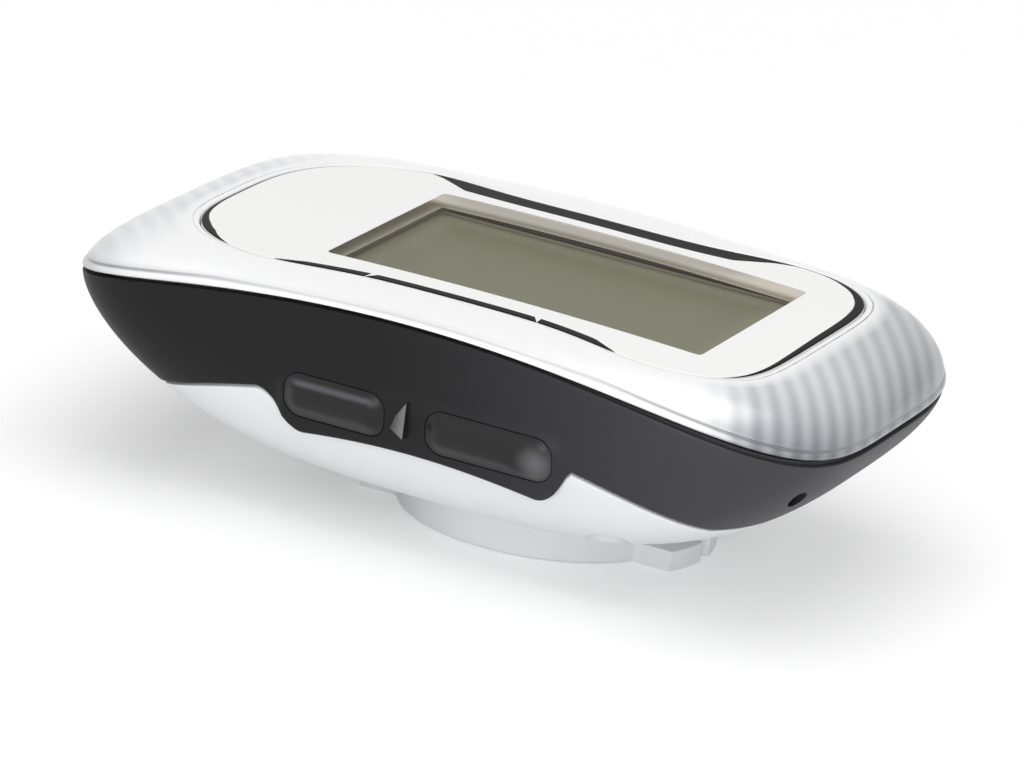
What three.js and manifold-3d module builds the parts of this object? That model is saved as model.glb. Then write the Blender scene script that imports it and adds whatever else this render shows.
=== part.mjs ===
// A bicycle computer: satellite-positioning cycle computer with a reflective display, four side
// buttons, a rubber-capped charging port and a quarter-turn boss on its back.
// Millimetres. X to the rider's right, Y forward (the nose), Z out of the display.
// The origin is the middle of the quarter-turn boss's flat face, on which the unit stands.
import * as THREE from "three";
import { mergeVertices } from "three/addons/utils/BufferGeometryUtils.js";
import Module from "manifold-3d";

const wasm = await Module();
wasm.setup();

// ---------- driving dimensions ----------
const CASE_WIDTH = 47.2; // across the bezel's rim
const CASE_LENGTH = 69; // nose to tail
const OVERALL_HEIGHT = 22; // boss face to the crown of the lens
const BOSS_HEIGHT = 3.8; // boss face to the flat of the back cover
const BOSS_FORWARD = 4; // boss axis ahead of the case's middle
const WALL = 1.6; // moulded side walls and back
const TOP_WALL = 2.6; // bezel deck with the lens recess above it
const SEAM = 0.25; // parting gap between two mouldings
const FIT = 0.3; // clearance round a piece that sits in a pocket
const SEAT = 0.05; // gap under a soldered, bonded or screwed piece
const LAP_GAP = 0.15; // between a wall and what laps inside it

const RIM_DROP = 1.1; // rim below the lens crown at mid-length
const RIM_FALL = 4.76; // further fall of the rim at nose and tail
const RIM_PEAK = -1.4; // where along the case the rim stands highest
const CROWN_FALL = 1.3; // fall of the lens surface at nose and tail
const NOSE_SQUARENESS = 4.2; // exponents of the squared ovals
const TAIL_SQUARENESS = 6.3;
const FLAT_SQUARENESS = 2.6;
const FLAT_SIDE_INSET = 10.1; // from the rim in to the flat of the back cover
const FLAT_END_INSET = 18.5;
const FLAT_FORWARD = 2;
const END_FULLNESS = 1.5; // how bellied the wall is at nose and tail
const SIDE_FULLNESS = 2.3; // and at mid-length

const LENS_SIDE_INSET = 3.9; // from the rim in to the lens
const LENS_NOSE_INSET = 8.1;
const LENS_TAIL_INSET = 6.7;
const LENS_WAIST = 3.25; // how much each side draws in beside the display
const LENS_WAIST_LENGTH = 15; // half-length of that waist
const LENS_NOSE_SQUARENESS = 5.2;
const LENS_TAIL_SQUARENESS = 3.2;
const LENS_THICKNESS = 1.3;
const LENS_GAP = 0.15; // round the lens in its recess
const ADHESIVE = 0.2;
const ADHESIVE_MARGIN = 1.2; // kept clear of the lens's edge and of the window
const ADHESIVE_LEAST = 0.2; // least width of the bonding frame

const DISPLAY_SIDE_MARGIN = 2.75; // from the lens's waist in to the display glass
const DISPLAY_END_MARGIN = 8.6; // from the lens's ends
const DISPLAY_FORWARD = 3.4; // display's middle ahead of the case's middle
const DISPLAY_THICKNESS = 1.6;
const DISPLAY_TOP_GAP = 0.3; // air between the lens and the glass
const GUIDE_THICKNESS = 1;
const TRAY_WALL = 0.6;
const TRAY_FLOOR = 0.7;
const TRAY_LAP = 0.25; // how far the tray's rim laps up round the glass
const FLEX_WIDTH = 12;
const FLEX_THICKNESS = 0.25;
const FLEX_BEND = 0.9; // radius of its two bends
const FLEX_FOOT = 2.4; // length that lies on the board

const EDGE_DROP = 7.3; // from the rim's crest down to the band's lower edge
const EDGE_FALL = 9.52; // further fall of that edge at nose and tail
const EDGE_LEVEL = 12.5; // below the rim's crest, where it levels out
const POD_DROP = 3.85; // how far it dips under the button pod
const POD_TAIL = -12.6;
const POD_NOSE = 14.4;
const POD_TOP_DROP = 5.5; // pod's upper edge below the rim's crest
const POD_PROUD = 0.4;
const BUTTON_TOP_DROP = 6.4; // buttons' upper edge below the rim's crest
const BUTTON_HEIGHT = 4;
const BUTTON_PROUD = 1;
const BUTTON_TRAVEL = 0.5;
const BUTTON_GAP = 0.25; // round a button or the port cap in its opening
const BUTTONS = [
  { name: "rear", from: -11.4, to: -2.2 },
  { name: "front", from: 1.6, to: 13 },
];
const DIMPLE = { y: 11.9, radius: 2.6, depth: 0.35 }; // finger dimple in the front buttons
const FIN_PROUD = 1.4; // wedge between the two buttons
const FIN_FROM = -1.8;
const FIN_TO = -0.2;

const BOSS_RADIUS = 12.4;
const EAR_TIP_RADIUS = 15.5;
const EAR_THICKNESS = 1.8;
const EAR_WIDTH = 11;
const DETENT_RADIUS = 0.9; // notch in the tip of each ear

const LIP = 1.1; // the bezel's lip reaches this far in from the wall
const LIP_DEPTH = 2.2; // and this far down inside the band
const SEAL = 0.5; // thickness of the gasket inside the cover
const SEAL_HEIGHT = 1.3;

const BOARD_THICKNESS = 0.8;
const BOARD_CORNER = 9;
const BOARD_SIDE_GAP = 1.4; // from the lip in to the board
const BOARD_END_GAP = 2.8;
const CHIP_ROOM = 1.5; // between the board and the display tray
const UNDER_BOARD = 2.7; // between the board and the battery
const BATTERY_THICKNESS = 4.6;
const BATTERY_SPREAD = 2.1; // beyond the inner floor, where the walls have opened out
const BATTERY_NOSE_SPREAD = 1.8;
const BATTERY_TAIL_SPREAD = 3.4;
const BATTERY_ROOM = 0.2; // between its edges and the walls
const PAD = [18, 20];
const LEAD_RADIUS = 0.45;
const LEAD_SPREAD = 0.9; // each lead beside the connector's middle
const CONNECTOR = { x: 6.2, behind: 1.6, size: [5, 3, 1.9] }; // behind the battery's tail

const SCREW_RADIUS = 0.7;
const SCREW_HEAD_RADIUS = 1.6;
const SCREW_HEAD = 1.2;
const SCREW_DRIVE_RADIUS = 0.7;
const SCREW_DRIVE_DEPTH = 0.7;
const SCREW_GAP = 0.25; // round a screw in its hole
const HEAD_SEAT_RISE = 4.8; // screw seats above the cover's flat
const BEZEL_BOSS_RADIUS = 1.7;
const COLUMN_WALL = 0.45; // round the screw head's recess
const NOSE_SCREW_AHEAD = 2.2; // of the button pods
const TAIL_SCREW_INSET = 15.5; // from the tail
const TAIL_SCREW_SIDE_INSET = 11.6;
const BOARD_SCREW_RADIUS = 0.6;
const BOARD_SCREW_HEAD_RADIUS = 1.2;
const BOARD_SCREW_HEAD = 0.8;

const PORT_WIDTH = 7.7; // charging socket
const PORT_HEIGHT = 3.9;
const PORT_DEPTH = 8.5;
const PORT_WALL = 0.4;
const PORT_INSET = 6.7; // its mouth inside the tail
const PLUG_GAP = 0.35;
const CAP_SIDE = 2.65; // how far the cap reaches beyond the socket
const CAP_ABOVE = 1.15;
const CAP_BELOW = 0.35;
const CAP_PROUD = 0.4;
const CAP_DEPTH = 0.5; // how far its flap is let into the wall
const CAP_HINGE_RADIUS = 0.55;
const CAP_RIDGE = { width: 6, height: 0.7, drop: 1, proud: 0.75 }; // finger ridge under the cap's top
const CAP_HEEL = 0.9; // the flap is thin below this height, so that it can swing
const AIR_HOLE = { angle: 0.9, drop: 8.8, radius: 0.9, pivot: 20.5 }; // in the nose corner
const MEMBRANE_RADIUS = 1.5;
const MEMBRANE_THICKNESS = 0.3;

const FINE = { ring: 48, top: 4, wall: 6 }; // facets of the faces that show
const COARSE = { ring: 32, top: 2, wall: 4 }; // and of the hidden ones
const FAR = 60; // beyond every face of the case

// ---------- sizes that follow ----------
const HALF_WIDTH = CASE_WIDTH / 2;
const HALF_LENGTH = CASE_LENGTH / 2;
const RIM_CREST = OVERALL_HEIGHT - RIM_DROP;
const FLAT_WIDTH = CASE_WIDTH - 2 * FLAT_SIDE_INSET;
const FLAT_LENGTH = CASE_LENGTH - 2 * FLAT_END_INSET;
const LENS_HALF_WIDTH = HALF_WIDTH - LENS_SIDE_INSET;
const LENS_NOSE = HALF_LENGTH - LENS_NOSE_INSET;
const LENS_TAIL = HALF_LENGTH - LENS_TAIL_INSET;
const DISPLAY_WIDTH = 2 * (LENS_HALF_WIDTH - LENS_WAIST - DISPLAY_SIDE_MARGIN);
const DISPLAY_LENGTH = LENS_NOSE + LENS_TAIL - 2 * DISPLAY_END_MARGIN;
const DISPLAY_NOSE = DISPLAY_FORWARD + DISPLAY_LENGTH / 2;

const crownHeight = (y) => OVERALL_HEIGHT - CROWN_FALL * (y / HALF_LENGTH) ** 2;
const rimHeight = (y) => RIM_CREST - RIM_FALL * ((y - RIM_PEAK) / HALF_LENGTH) ** 2;
const lensFloor = (y) => crownHeight(y) - LENS_THICKNESS - ADHESIVE;

const DISPLAY_TOP = crownHeight(DISPLAY_NOSE) - LENS_THICKNESS - DISPLAY_TOP_GAP;
const DISPLAY_BOTTOM = DISPLAY_TOP - DISPLAY_THICKNESS;
const GUIDE_BOTTOM = DISPLAY_BOTTOM - SEAT - GUIDE_THICKNESS;
const TRAY_BOTTOM = GUIDE_BOTTOM - SEAT - TRAY_FLOOR;
const TRAY_WIDTH = DISPLAY_WIDTH + 2 * (TRAY_WALL + FIT);
const TRAY_LENGTH = DISPLAY_LENGTH + 2 * (TRAY_WALL + FIT);
const TRAY_NOSE = DISPLAY_FORWARD + TRAY_LENGTH / 2;
const TRAY_TAIL = DISPLAY_FORWARD - TRAY_LENGTH / 2;

const BOARD_TOP = TRAY_BOTTOM - CHIP_ROOM;
const BOARD_BOTTOM = BOARD_TOP - BOARD_THICKNESS;
const BOARD_WIDTH = CASE_WIDTH - 2 * (WALL + LIP + BOARD_SIDE_GAP);
const BOARD_LENGTH = CASE_LENGTH - 2 * (WALL + LIP + BOARD_END_GAP);
const BATTERY_BOTTOM = BOARD_BOTTOM - UNDER_BOARD - BATTERY_THICKNESS;
const BATTERY_WIDTH = FLAT_WIDTH + 2 * (BATTERY_SPREAD - WALL);
const BATTERY_NOSE = FLAT_FORWARD + FLAT_LENGTH / 2 + BATTERY_NOSE_SPREAD - WALL;
const BATTERY_TAIL = FLAT_FORWARD - FLAT_LENGTH / 2 - BATTERY_TAIL_SPREAD + WALL;

const BUTTON_TOP = RIM_CREST - BUTTON_TOP_DROP;
const BUTTON_FLOOR = BUTTON_TOP - BUTTON_HEIGHT;
const BUTTON_AXIS = BUTTON_TOP - BUTTON_HEIGHT / 2;
const POD_TOP = RIM_CREST - POD_TOP_DROP;

const HEAD_SEAT = BOSS_HEIGHT + HEAD_SEAT_RISE;
const DECK_FOOT = OVERALL_HEIGHT - TOP_WALL - 0.8; // the bezel's deck lies above this
const BEZEL_BOSS_HEAD = OVERALL_HEIGHT - TOP_WALL - 0.1; // its screw bosses end in the deck
const BEZEL_BOSS_FOOT = BOARD_BOTTOM - 3.4;
const NOSE_SCREW_X = TRAY_WIDTH / 2 + FIT + BEZEL_BOSS_RADIUS;
const TAIL_SCREW_X = HALF_WIDTH - TAIL_SCREW_SIDE_INSET;
const CASE_SCREWS = [
  { name: "nose_right", x: NOSE_SCREW_X, y: POD_NOSE + NOSE_SCREW_AHEAD },
  { name: "nose_left", x: -NOSE_SCREW_X, y: POD_NOSE + NOSE_SCREW_AHEAD },
  { name: "tail_right", x: TAIL_SCREW_X, y: TAIL_SCREW_INSET - HALF_LENGTH },
  { name: "tail_left", x: -TAIL_SCREW_X, y: TAIL_SCREW_INSET - HALF_LENGTH },
];
const BOARD_SCREWS = [
  { name: "right", x: TRAY_WIDTH / 2 - 2.2, y: TRAY_TAIL + 4.5 },
  { name: "left", x: 2.2 - TRAY_WIDTH / 2, y: TRAY_NOSE - 5.3 },
];

// ---------- solids ----------
function solidOf(geometry) {
  const bare = new THREE.BufferGeometry();
  bare.setAttribute("position", geometry.getAttribute("position"));
  if (geometry.index) bare.setIndex(geometry.index);
  const merged = mergeVertices(bare, 1e-4);
  const index = merged.index.array;
  const kept = [];
  for (let i = 0; i < index.length; i += 3) {
    const [a, b, c] = [index[i], index[i + 1], index[i + 2]];
    if (a !== b && b !== c && c !== a) kept.push(a, b, c);
  }
  return new wasm.Manifold(
    new wasm.Mesh({
      numProp: 3,
      vertProperties: new Float32Array(merged.attributes.position.array),
      triVerts: new Uint32Array(kept),
    }),
  );
}

function geometryOf(solid) {
  const mesh = solid.getMesh();
  const geometry = new THREE.BufferGeometry();
  const vertices = new THREE.BufferAttribute(new Float32Array(mesh.vertProperties), 3);
  geometry.setAttribute("position", vertices);
  geometry.setIndex(new THREE.BufferAttribute(new Uint32Array(mesh.triVerts), 1));
  geometry.computeVertexNormals();
  return geometry;
}

function union(...solids) {
  return solids.reduce((all, next) => all.add(next));
}

// A box from its low corner to its high corner.
function block(low, high) {
  const [x, y, z] = [0, 1, 2].map((k) => high[k] - low[k]);
  const geometry = new THREE.BoxGeometry(x, y, z);
  geometry.translate(low[0] + x / 2, low[1] + y / 2, low[2] + z / 2);
  return solidOf(geometry);
}

// A box by its size, its middle in plan and the height of its underside.
function chip([width, length, height], x, y, z) {
  return block([x - width / 2, y - length / 2, z], [x + width / 2, y + length / 2, z + height]);
}

// An upright cylinder between two heights.
function post(radius, x, y, from, to, sides = 16) {
  const geometry = new THREE.CylinderGeometry(radius, radius, to - from, sides);
  geometry.rotateX(Math.PI / 2);
  geometry.translate(x, y, (from + to) / 2);
  return solidOf(geometry);
}

// A cylinder lying along X.
function rod(radius, y, z, from, to, sides = 16) {
  const geometry = new THREE.CylinderGeometry(radius, radius, to - from, sides);
  geometry.rotateZ(Math.PI / 2);
  geometry.translate((from + to) / 2, y, z);
  return solidOf(geometry);
}

// A plan outline, extruded upward from one height to another.
function prismUp(points, from, to) {
  const geometry = new THREE.ExtrudeGeometry(new THREE.Shape(points), {
    depth: to - from,
    bevelEnabled: false,
  });
  geometry.translate(0, 0, from);
  return solidOf(geometry);
}

// A side outline in (y, z), extruded along X.
function prismAcross(points, from, to) {
  const geometry = new THREE.ExtrudeGeometry(new THREE.Shape(points), {
    depth: to - from,
    bevelEnabled: false,
  });
  const [x, y, z] = [new THREE.Vector3(0, 1, 0), new THREE.Vector3(0, 0, 1), new THREE.Vector3(1, 0, 0)];
  geometry.applyMatrix4(new THREE.Matrix4().makeBasis(x, y, z));
  geometry.translate(from, 0, 0);
  return solidOf(geometry);
}

// A rectangle with round corners, as points.
function roundedRectangle(left, right, low, high, radius, steps = 5) {
  const corners = [
    [right - radius, low + radius, -Math.PI / 2],
    [right - radius, high - radius, 0],
    [left + radius, high - radius, Math.PI / 2],
    [left + radius, low + radius, Math.PI],
  ];
  return corners.flatMap(([cx, cy, start]) =>
    Array.from({ length: steps + 1 }, (_, k) => {
      const angle = start + (k / steps) * (Math.PI / 2);
      return new THREE.Vector2(cx + radius * Math.cos(angle), cy + radius * Math.sin(angle));
    }),
  );
}

// ---------- the case's form ----------
function evenly(from, to, steps) {
  return Array.from({ length: steps + 1 }, (_, k) => from + ((to - from) * k) / steps);
}

const BEYOND = HALF_LENGTH + 1.5;
crownHeight.stations = evenly(-BEYOND, BEYOND, 12); // where each line bends along the case
lensFloor.stations = crownHeight.stations;
rimHeight.stations = evenly(-BEYOND, BEYOND, 16);

// The point at a share of the way round a squared oval; even steps crowd together at its corners.
function ovalPoint(share, width, nose, tail, noseSquareness, tailSquareness) {
  const t = 2 * Math.PI * share;
  const angle = t + 0.125 * Math.sin(4 * t);
  const [c, s] = [Math.cos(angle), Math.sin(angle)].map((v) => (Math.abs(v) < 1e-12 ? 0 : v));
  const n = s >= 0 ? noseSquareness : tailSquareness;
  const reach = (Math.abs(c) ** n + Math.abs(s) ** n) ** (-1 / n);
  return new THREE.Vector2(width * c * reach, (s >= 0 ? nose : tail) * s * reach);
}

function rimPoint(share, skin) {
  const end = HALF_LENGTH + skin;
  return ovalPoint(share, HALF_WIDTH + skin, end, end, NOSE_SQUARENESS, TAIL_SQUARENESS);
}

function flatPoint(share, skin) {
  const end = FLAT_LENGTH / 2 + skin;
  const p = ovalPoint(share, FLAT_WIDTH / 2 + skin, end, end, FLAT_SQUARENESS, FLAT_SQUARENESS);
  p.y += FLAT_FORWARD;
  return p;
}

function lensPoint(share, skin) {
  const nose = LENS_NOSE + skin;
  const tail = LENS_TAIL + skin;
  const p = ovalPoint(share, LENS_HALF_WIDTH + skin, nose, tail, LENS_NOSE_SQUARENESS, LENS_TAIL_SQUARENESS);
  p.x *= 1 - (LENS_WAIST / LENS_HALF_WIDTH) * Math.exp(-((p.y / LENS_WAIST_LENGTH) ** 4));
  return p;
}

const ringOf = (pointAt, count) => Array.from({ length: count }, (_, i) => pointAt(i / count));

// The whole case as one solid, grown by skin all round (or shrunk, where it is negative).
function caseForm(skin, topSkin = skin, facets = COARSE) {
  const rim = ringOf((share) => rimPoint(share, skin), facets.ring);
  const flat = ringOf((share) => flatPoint(share, skin), facets.ring);
  const lens = ringOf((share) => lensPoint(share, skin), facets.ring);
  const floor = BOSS_HEIGHT - skin;
  const rings = [lens.map((p) => new THREE.Vector3(0, p.y, crownHeight(p.y) + topSkin))];
  for (let row = facets.top; row > 0; row -= 1) {
    const angle = (row / facets.top) * (Math.PI / 2);
    rings.push(
      rim.map((r, i) => {
        const p = r.clone().lerp(lens[i], 1 - Math.cos(angle));
        const foot = rimHeight(r.y);
        const head = crownHeight(lens[i].y) + topSkin;
        return new THREE.Vector3(p.x, p.y, foot + (head - foot) * Math.sin(angle));
      }),
    );
  }
  for (let row = 0; row <= facets.wall; row += 1) {
    const angle = (row / facets.wall) * (Math.PI / 2);
    rings.push(
      rim.map((r, i) => {
        const side = 1 - Math.abs(r.y / (HALF_LENGTH + skin)) ** 3;
        const power = 2 / (END_FULLNESS + (SIDE_FULLNESS - END_FULLNESS) * side);
        const inward = 1 - Math.max(0, Math.cos(angle)) ** power;
        const p = r.clone().lerp(flat[i], inward);
        const head = rimHeight(r.y);
        return new THREE.Vector3(p.x, p.y, head + (floor - head) * Math.sin(angle) ** power);
      }),
    );
  }
  const points = rings.flat();
  const faces = [];
  for (let row = 0; row + 1 < rings.length; row += 1) {
    for (let i = 0; i < facets.ring; i += 1) {
      const [a, b] = [row * facets.ring + i, row * facets.ring + ((i + 1) % facets.ring)];
      faces.push(a, a + facets.ring, b, b, a + facets.ring, b + facets.ring);
    }
  }
  const last = points.length - facets.ring;
  const middle = points.push(new THREE.Vector3(0, FLAT_FORWARD, floor)) - 1;
  for (let i = 0; i < facets.ring; i += 1) faces.push(last + i, middle, last + ((i + 1) % facets.ring));
  const geometry = new THREE.BufferGeometry();
  geometry.setAttribute("position", new THREE.Float32BufferAttribute(points.flatMap((p) => p.toArray()), 3));
  geometry.setIndex(faces);
  return solidOf(geometry);
}

// Everything above, or below, a height that varies along the case.
function heightLine(heightAt, offset) {
  return [-FAR, ...heightAt.stations, FAR].map((y) => new THREE.Vector2(y, heightAt(y) + offset));
}

function above(heightAt, offset) {
  const line = heightLine(heightAt, offset);
  return prismAcross([...line, new THREE.Vector2(FAR, FAR), new THREE.Vector2(-FAR, FAR)], -FAR, FAR);
}

function below(heightAt, offset) {
  const line = heightLine(heightAt, offset).reverse();
  return prismAcross([new THREE.Vector2(-FAR, -FAR), new THREE.Vector2(FAR, -FAR), ...line], -FAR, FAR);
}

// The decorative edge between the dark band and the white back cover: an arch that drops under
// the button pod with a rounded step at its tail and a sharp crest at its nose.
const STEP = 4.8; // length of the rounded step
const CREST = 3.2; // and of the rise to the crest

function coverEdge(y) {
  const arch = RIM_CREST - Math.min(EDGE_DROP + EDGE_FALL * (y / HALF_LENGTH) ** 2, EDGE_LEVEL);
  const down = THREE.MathUtils.smoothstep(y, POD_TAIL + 3 - STEP, POD_TAIL + 3);
  const rise = THREE.MathUtils.clamp((y - POD_NOSE) / CREST + 1, 0, 1);
  return arch - POD_DROP * down * (1 - rise * rise);
}

coverEdge.stations = [
  ...evenly(-BEYOND, POD_TAIL + 3 - STEP, 7),
  ...evenly(POD_TAIL - 1, POD_TAIL + 3, 5),
  ...evenly(POD_TAIL + 6, POD_NOSE - CREST, 4),
  ...evenly(POD_NOSE - 0.75 * CREST, POD_NOSE, 3),
  ...evenly(POD_NOSE + 3, BEYOND, 6),
];

const outer = caseForm(0, 0, FINE);
const cavity = caseForm(-WALL, -TOP_WALL);
const shell = outer.subtract(cavity);
const liner = caseForm(-WALL - LAP_GAP, -TOP_WALL);
const core = caseForm(-WALL - LIP, 0); // everything inside the lip, up to the lens
const innerPlan = (grow) => ringOf((share) => rimPoint(share, grow - WALL), COARSE.ring);
const displayOutline = (grow) => {
  const [w, l] = [DISPLAY_WIDTH / 2 + grow, DISPLAY_LENGTH / 2 + grow];
  return roundedRectangle(-w, w, DISPLAY_FORWARD - l, DISPLAY_FORWARD + l, 0.8, 3);
};
const lensOutline = (grow) => ringOf((share) => lensPoint(share, grow), FINE.ring);

// ---------- front bezel ----------
// The rolled top, the deck under the lens, a lip that laps inside the band and four screw bosses.
function frontBezel() {
  const JOIN = 0.2; // how far lip and deck grow into the wall they belong to
  const deck = prismUp(innerPlan(-FIT), DECK_FOOT, FAR);
  const collar = caseForm(JOIN - WALL, -TOP_WALL).subtract(core).intersect(above(rimHeight, SEAM));
  const lip = liner.subtract(core).intersect(above(rimHeight, -LIP_DEPTH));
  let bezel = union(
    shell.intersect(union(above(rimHeight, SEAM / 2), deck)),
    collar.intersect(below(rimHeight, LIP + FIT)),
    lip.intersect(below(rimHeight, 2 * SEAM)),
  );
  for (const { x, y } of CASE_SCREWS)
    bezel = bezel.add(post(BEZEL_BOSS_RADIUS, x, y, BEZEL_BOSS_FOOT, BEZEL_BOSS_HEAD).intersect(core));
  const recess = prismUp(lensOutline(0), 0, FAR).intersect(above(lensFloor, 0));
  bezel = bezel.subtract(recess).subtract(prismUp(displayOutline(FIT), 0, FAR));
  for (const { x, y } of CASE_SCREWS)
    bezel = bezel.subtract(post(SCREW_RADIUS + 2 * SEAT, x, y, 0, BEZEL_BOSS_HEAD - 1, 12));
  return bezel;
}

// ---------- lens and display ----------
function displayLens() {
  return prismUp(lensOutline(-LENS_GAP), 0, FAR)
    .intersect(below(crownHeight, 0))
    .intersect(above(crownHeight, -LENS_THICKNESS));
}

// A thin frame between the lens's edge and the window.
function lensAdhesive() {
  const window = prismUp(displayOutline(ADHESIVE_MARGIN), 0, FAR);
  const widest = prismUp(lensOutline(-ADHESIVE_MARGIN - ADHESIVE_LEAST), 0, FAR);
  return prismUp(lensOutline(-ADHESIVE_MARGIN), 0, FAR)
    .subtract(window.intersect(widest))
    .intersect(below(crownHeight, -LENS_THICKNESS - SEAT))
    .intersect(above(lensFloor, SEAT));
}

const displayPanel = () => prismUp(displayOutline(0), DISPLAY_BOTTOM, DISPLAY_TOP);
const lightGuide = () => prismUp(displayOutline(-0.2), GUIDE_BOTTOM, DISPLAY_BOTTOM - SEAT);

// An open frame under the display, on two feet that the board screws pull up against.
function displayTray() {
  const height = DISPLAY_BOTTOM + TRAY_LAP - TRAY_BOTTOM;
  const grip = TRAY_BOTTOM + TRAY_FLOOR / 2; // the screws bite up to here
  let tray = chip([TRAY_WIDTH, TRAY_LENGTH, height], 0, DISPLAY_FORWARD, TRAY_BOTTOM);
  tray = tray.subtract(prismUp(displayOutline(FIT), TRAY_BOTTOM + TRAY_FLOOR, FAR));
  const flexSlot = chip([FLEX_WIDTH + 1, 6, FAR], 0, DISPLAY_NOSE + 2, DISPLAY_BOTTOM);
  tray = tray.subtract(flexSlot);
  for (const { x, y } of BOARD_SCREWS) {
    tray = tray.add(post(BOARD_SCREW_RADIUS + 0.9, x, y, BOARD_TOP + SEAT, grip, 14));
    tray = tray.subtract(post(BOARD_SCREW_RADIUS + LAP_GAP, x, y, 0, grip, 10));
  }
  return tray;
}

// A ribbon in the Y-Z plane that leaves the glass, turns down in front of the tray and lands on
// the board.
function displayFlex() {
  const front = TRAY_NOSE + FIT + FLEX_THICKNESS; // its outer face in front of the tray
  const high = DISPLAY_BOTTOM + TRAY_LAP + 0.2;
  const low = BOARD_TOP + SEAT + FLEX_THICKNESS;
  const line = new THREE.Path();
  line.moveTo(DISPLAY_NOSE + FIT, high);
  line.absarc(front - FLEX_BEND, high - FLEX_BEND, FLEX_BEND, Math.PI / 2, 0, true);
  line.absarc(front + FLEX_BEND, low + FLEX_BEND, FLEX_BEND, Math.PI, 1.5 * Math.PI, false);
  line.lineTo(front + FLEX_FOOT, low);
  const top = line.getPoints(4);
  const under = top.map((p, k) => {
    const before = top[Math.max(0, k - 1)];
    const after = top[Math.min(top.length - 1, k + 1)];
    const along = after.clone().sub(before).normalize();
    return new THREE.Vector2(p.x + along.y * FLEX_THICKNESS, p.y - along.x * FLEX_THICKNESS);
  });
  return prismAcross([...under, ...top.reverse()], -FLEX_WIDTH / 2, FLEX_WIDTH / 2);
}

// ---------- side band with its button pods ----------
const sideRange = (side) => (side > 0 ? [8, FAR] : [-FAR, -8]);
const mirrored = (side, a, b) => [side * a, side * b].sort((p, q) => p - q); // an X range on either side

function buttonOutline({ from, to }, grow) {
  return roundedRectangle(from - grow, to + grow, BUTTON_FLOOR - grow, BUTTON_TOP + grow, 1.5 + grow, 4);
}

const FIN = [
  new THREE.Vector2(FIN_FROM, BUTTON_FLOOR + 0.9),
  new THREE.Vector2(FIN_TO, BUTTON_FLOOR + 0.9),
  new THREE.Vector2(FIN_TO, POD_TOP),
];

// A level cylinder in the right nose corner, pointing out of the case.
function cornerRod(radius, from, to) {
  const geometry = new THREE.CylinderGeometry(radius, radius, to - from, 14);
  geometry.translate(0, (from + to) / 2, 0);
  geometry.rotateZ(AIR_HOLE.angle - Math.PI / 2);
  geometry.translate(0, HALF_LENGTH - AIR_HOLE.pivot, RIM_CREST - AIR_HOLE.drop);
  return solidOf(geometry);
}

const PORT_TOP = BOARD_BOTTOM - SEAT;
const PORT_MIDDLE = PORT_TOP - PORT_HEIGHT / 2;
const PORT_MOUTH = PORT_INSET - HALF_LENGTH;
const CAP_WIDTH = PORT_WIDTH + 2 * CAP_SIDE;
const CAP_LOW = PORT_TOP - PORT_HEIGHT - CAP_BELOW;
const capOutline = (grow) => {
  const [w, top] = [CAP_WIDTH / 2 + grow, PORT_TOP + CAP_ABOVE + grow];
  return roundedRectangle(-w, w, CAP_LOW - grow, top, 1.4 + grow, 4);
};
const plugOutline = (grow) => {
  const [w, h] = [PORT_WIDTH / 2 + 0.1 + grow, PORT_HEIGHT / 2 - 0.1 + grow];
  return roundedRectangle(-w, w, PORT_MIDDLE - h, PORT_MIDDLE + h, 0.6, 3);
};

// An outline in (x, z), extruded along Y out through the tail wall.
function prismThroughTail(points) {
  const start = PORT_MOUTH + PORT_DEPTH - 0.7;
  const geometry = new THREE.ExtrudeGeometry(new THREE.Shape(points), {
    depth: FAR + start,
    bevelEnabled: false,
  });
  geometry.rotateX(Math.PI / 2);
  geometry.translate(0, start, 0);
  return solidOf(geometry);
}

// The tail wall's outer face on the case's middle line, at a given height.
function tailWallY(height, skin) {
  const head = rimHeight(-HALF_LENGTH - skin);
  const share = (head - height) / (head - BOSS_HEIGHT + skin);
  const outward = (1 - share ** END_FULLNESS) ** (1 / END_FULLNESS);
  const flatTail = FLAT_FORWARD - FLAT_LENGTH / 2 - skin;
  return flatTail + (-HALF_LENGTH - skin - flatTail) * outward;
}
const HINGE_Z = CAP_LOW - 0.15;
const HINGE_Y = tailWallY(HINGE_Z, 0.1);

function sideBand() {
  const room = cavity.add(prismUp(innerPlan(0), DECK_FOOT - 1.5, FAR));
  const band = outer.subtract(room).intersect(below(rimHeight, -SEAM / 2));
  const podZone = roundedRectangle(POD_TAIL, POD_NOSE, 2, POD_TOP, 2.6, 5);
  const podSkin = caseForm(POD_PROUD, 0, FINE).subtract(cavity);
  const finSkin = caseForm(FIN_PROUD, 0).subtract(cavity);
  const pods = [1, -1].flatMap((side) => [
    podSkin.intersect(prismAcross(podZone, ...sideRange(side))),
    finSkin.intersect(prismAcross(FIN, ...sideRange(side))),
  ]);
  const capPocket = caseForm(2, 0).subtract(caseForm(-CAP_DEPTH - BUTTON_GAP, -TOP_WALL));
  const openings = [
    ...[1, -1].flatMap((side) =>
      BUTTONS.map((button) => prismAcross(buttonOutline(button, BUTTON_GAP), ...sideRange(side))),
    ),
    cornerRod(AIR_HOLE.radius, 5, FAR),
    capPocket.intersect(prismThroughTail(capOutline(BUTTON_GAP))),
    rod(CAP_HINGE_RADIUS + BUTTON_GAP, HINGE_Y, HINGE_Z, -CAP_WIDTH / 2, CAP_WIDTH / 2),
    prismThroughTail(plugOutline(PLUG_GAP)),
  ];
  return union(band, ...pods).intersect(above(coverEdge, SEAM / 2)).subtract(union(...openings));
}

// A breathable disc bonded over the air hole, inside.
function portMembrane() {
  return cornerRod(MEMBRANE_RADIUS, 5, FAR)
    .intersect(caseForm(-WALL - SEAT, -TOP_WALL))
    .subtract(caseForm(-WALL - SEAT - MEMBRANE_THICKNESS, -TOP_WALL));
}

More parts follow.
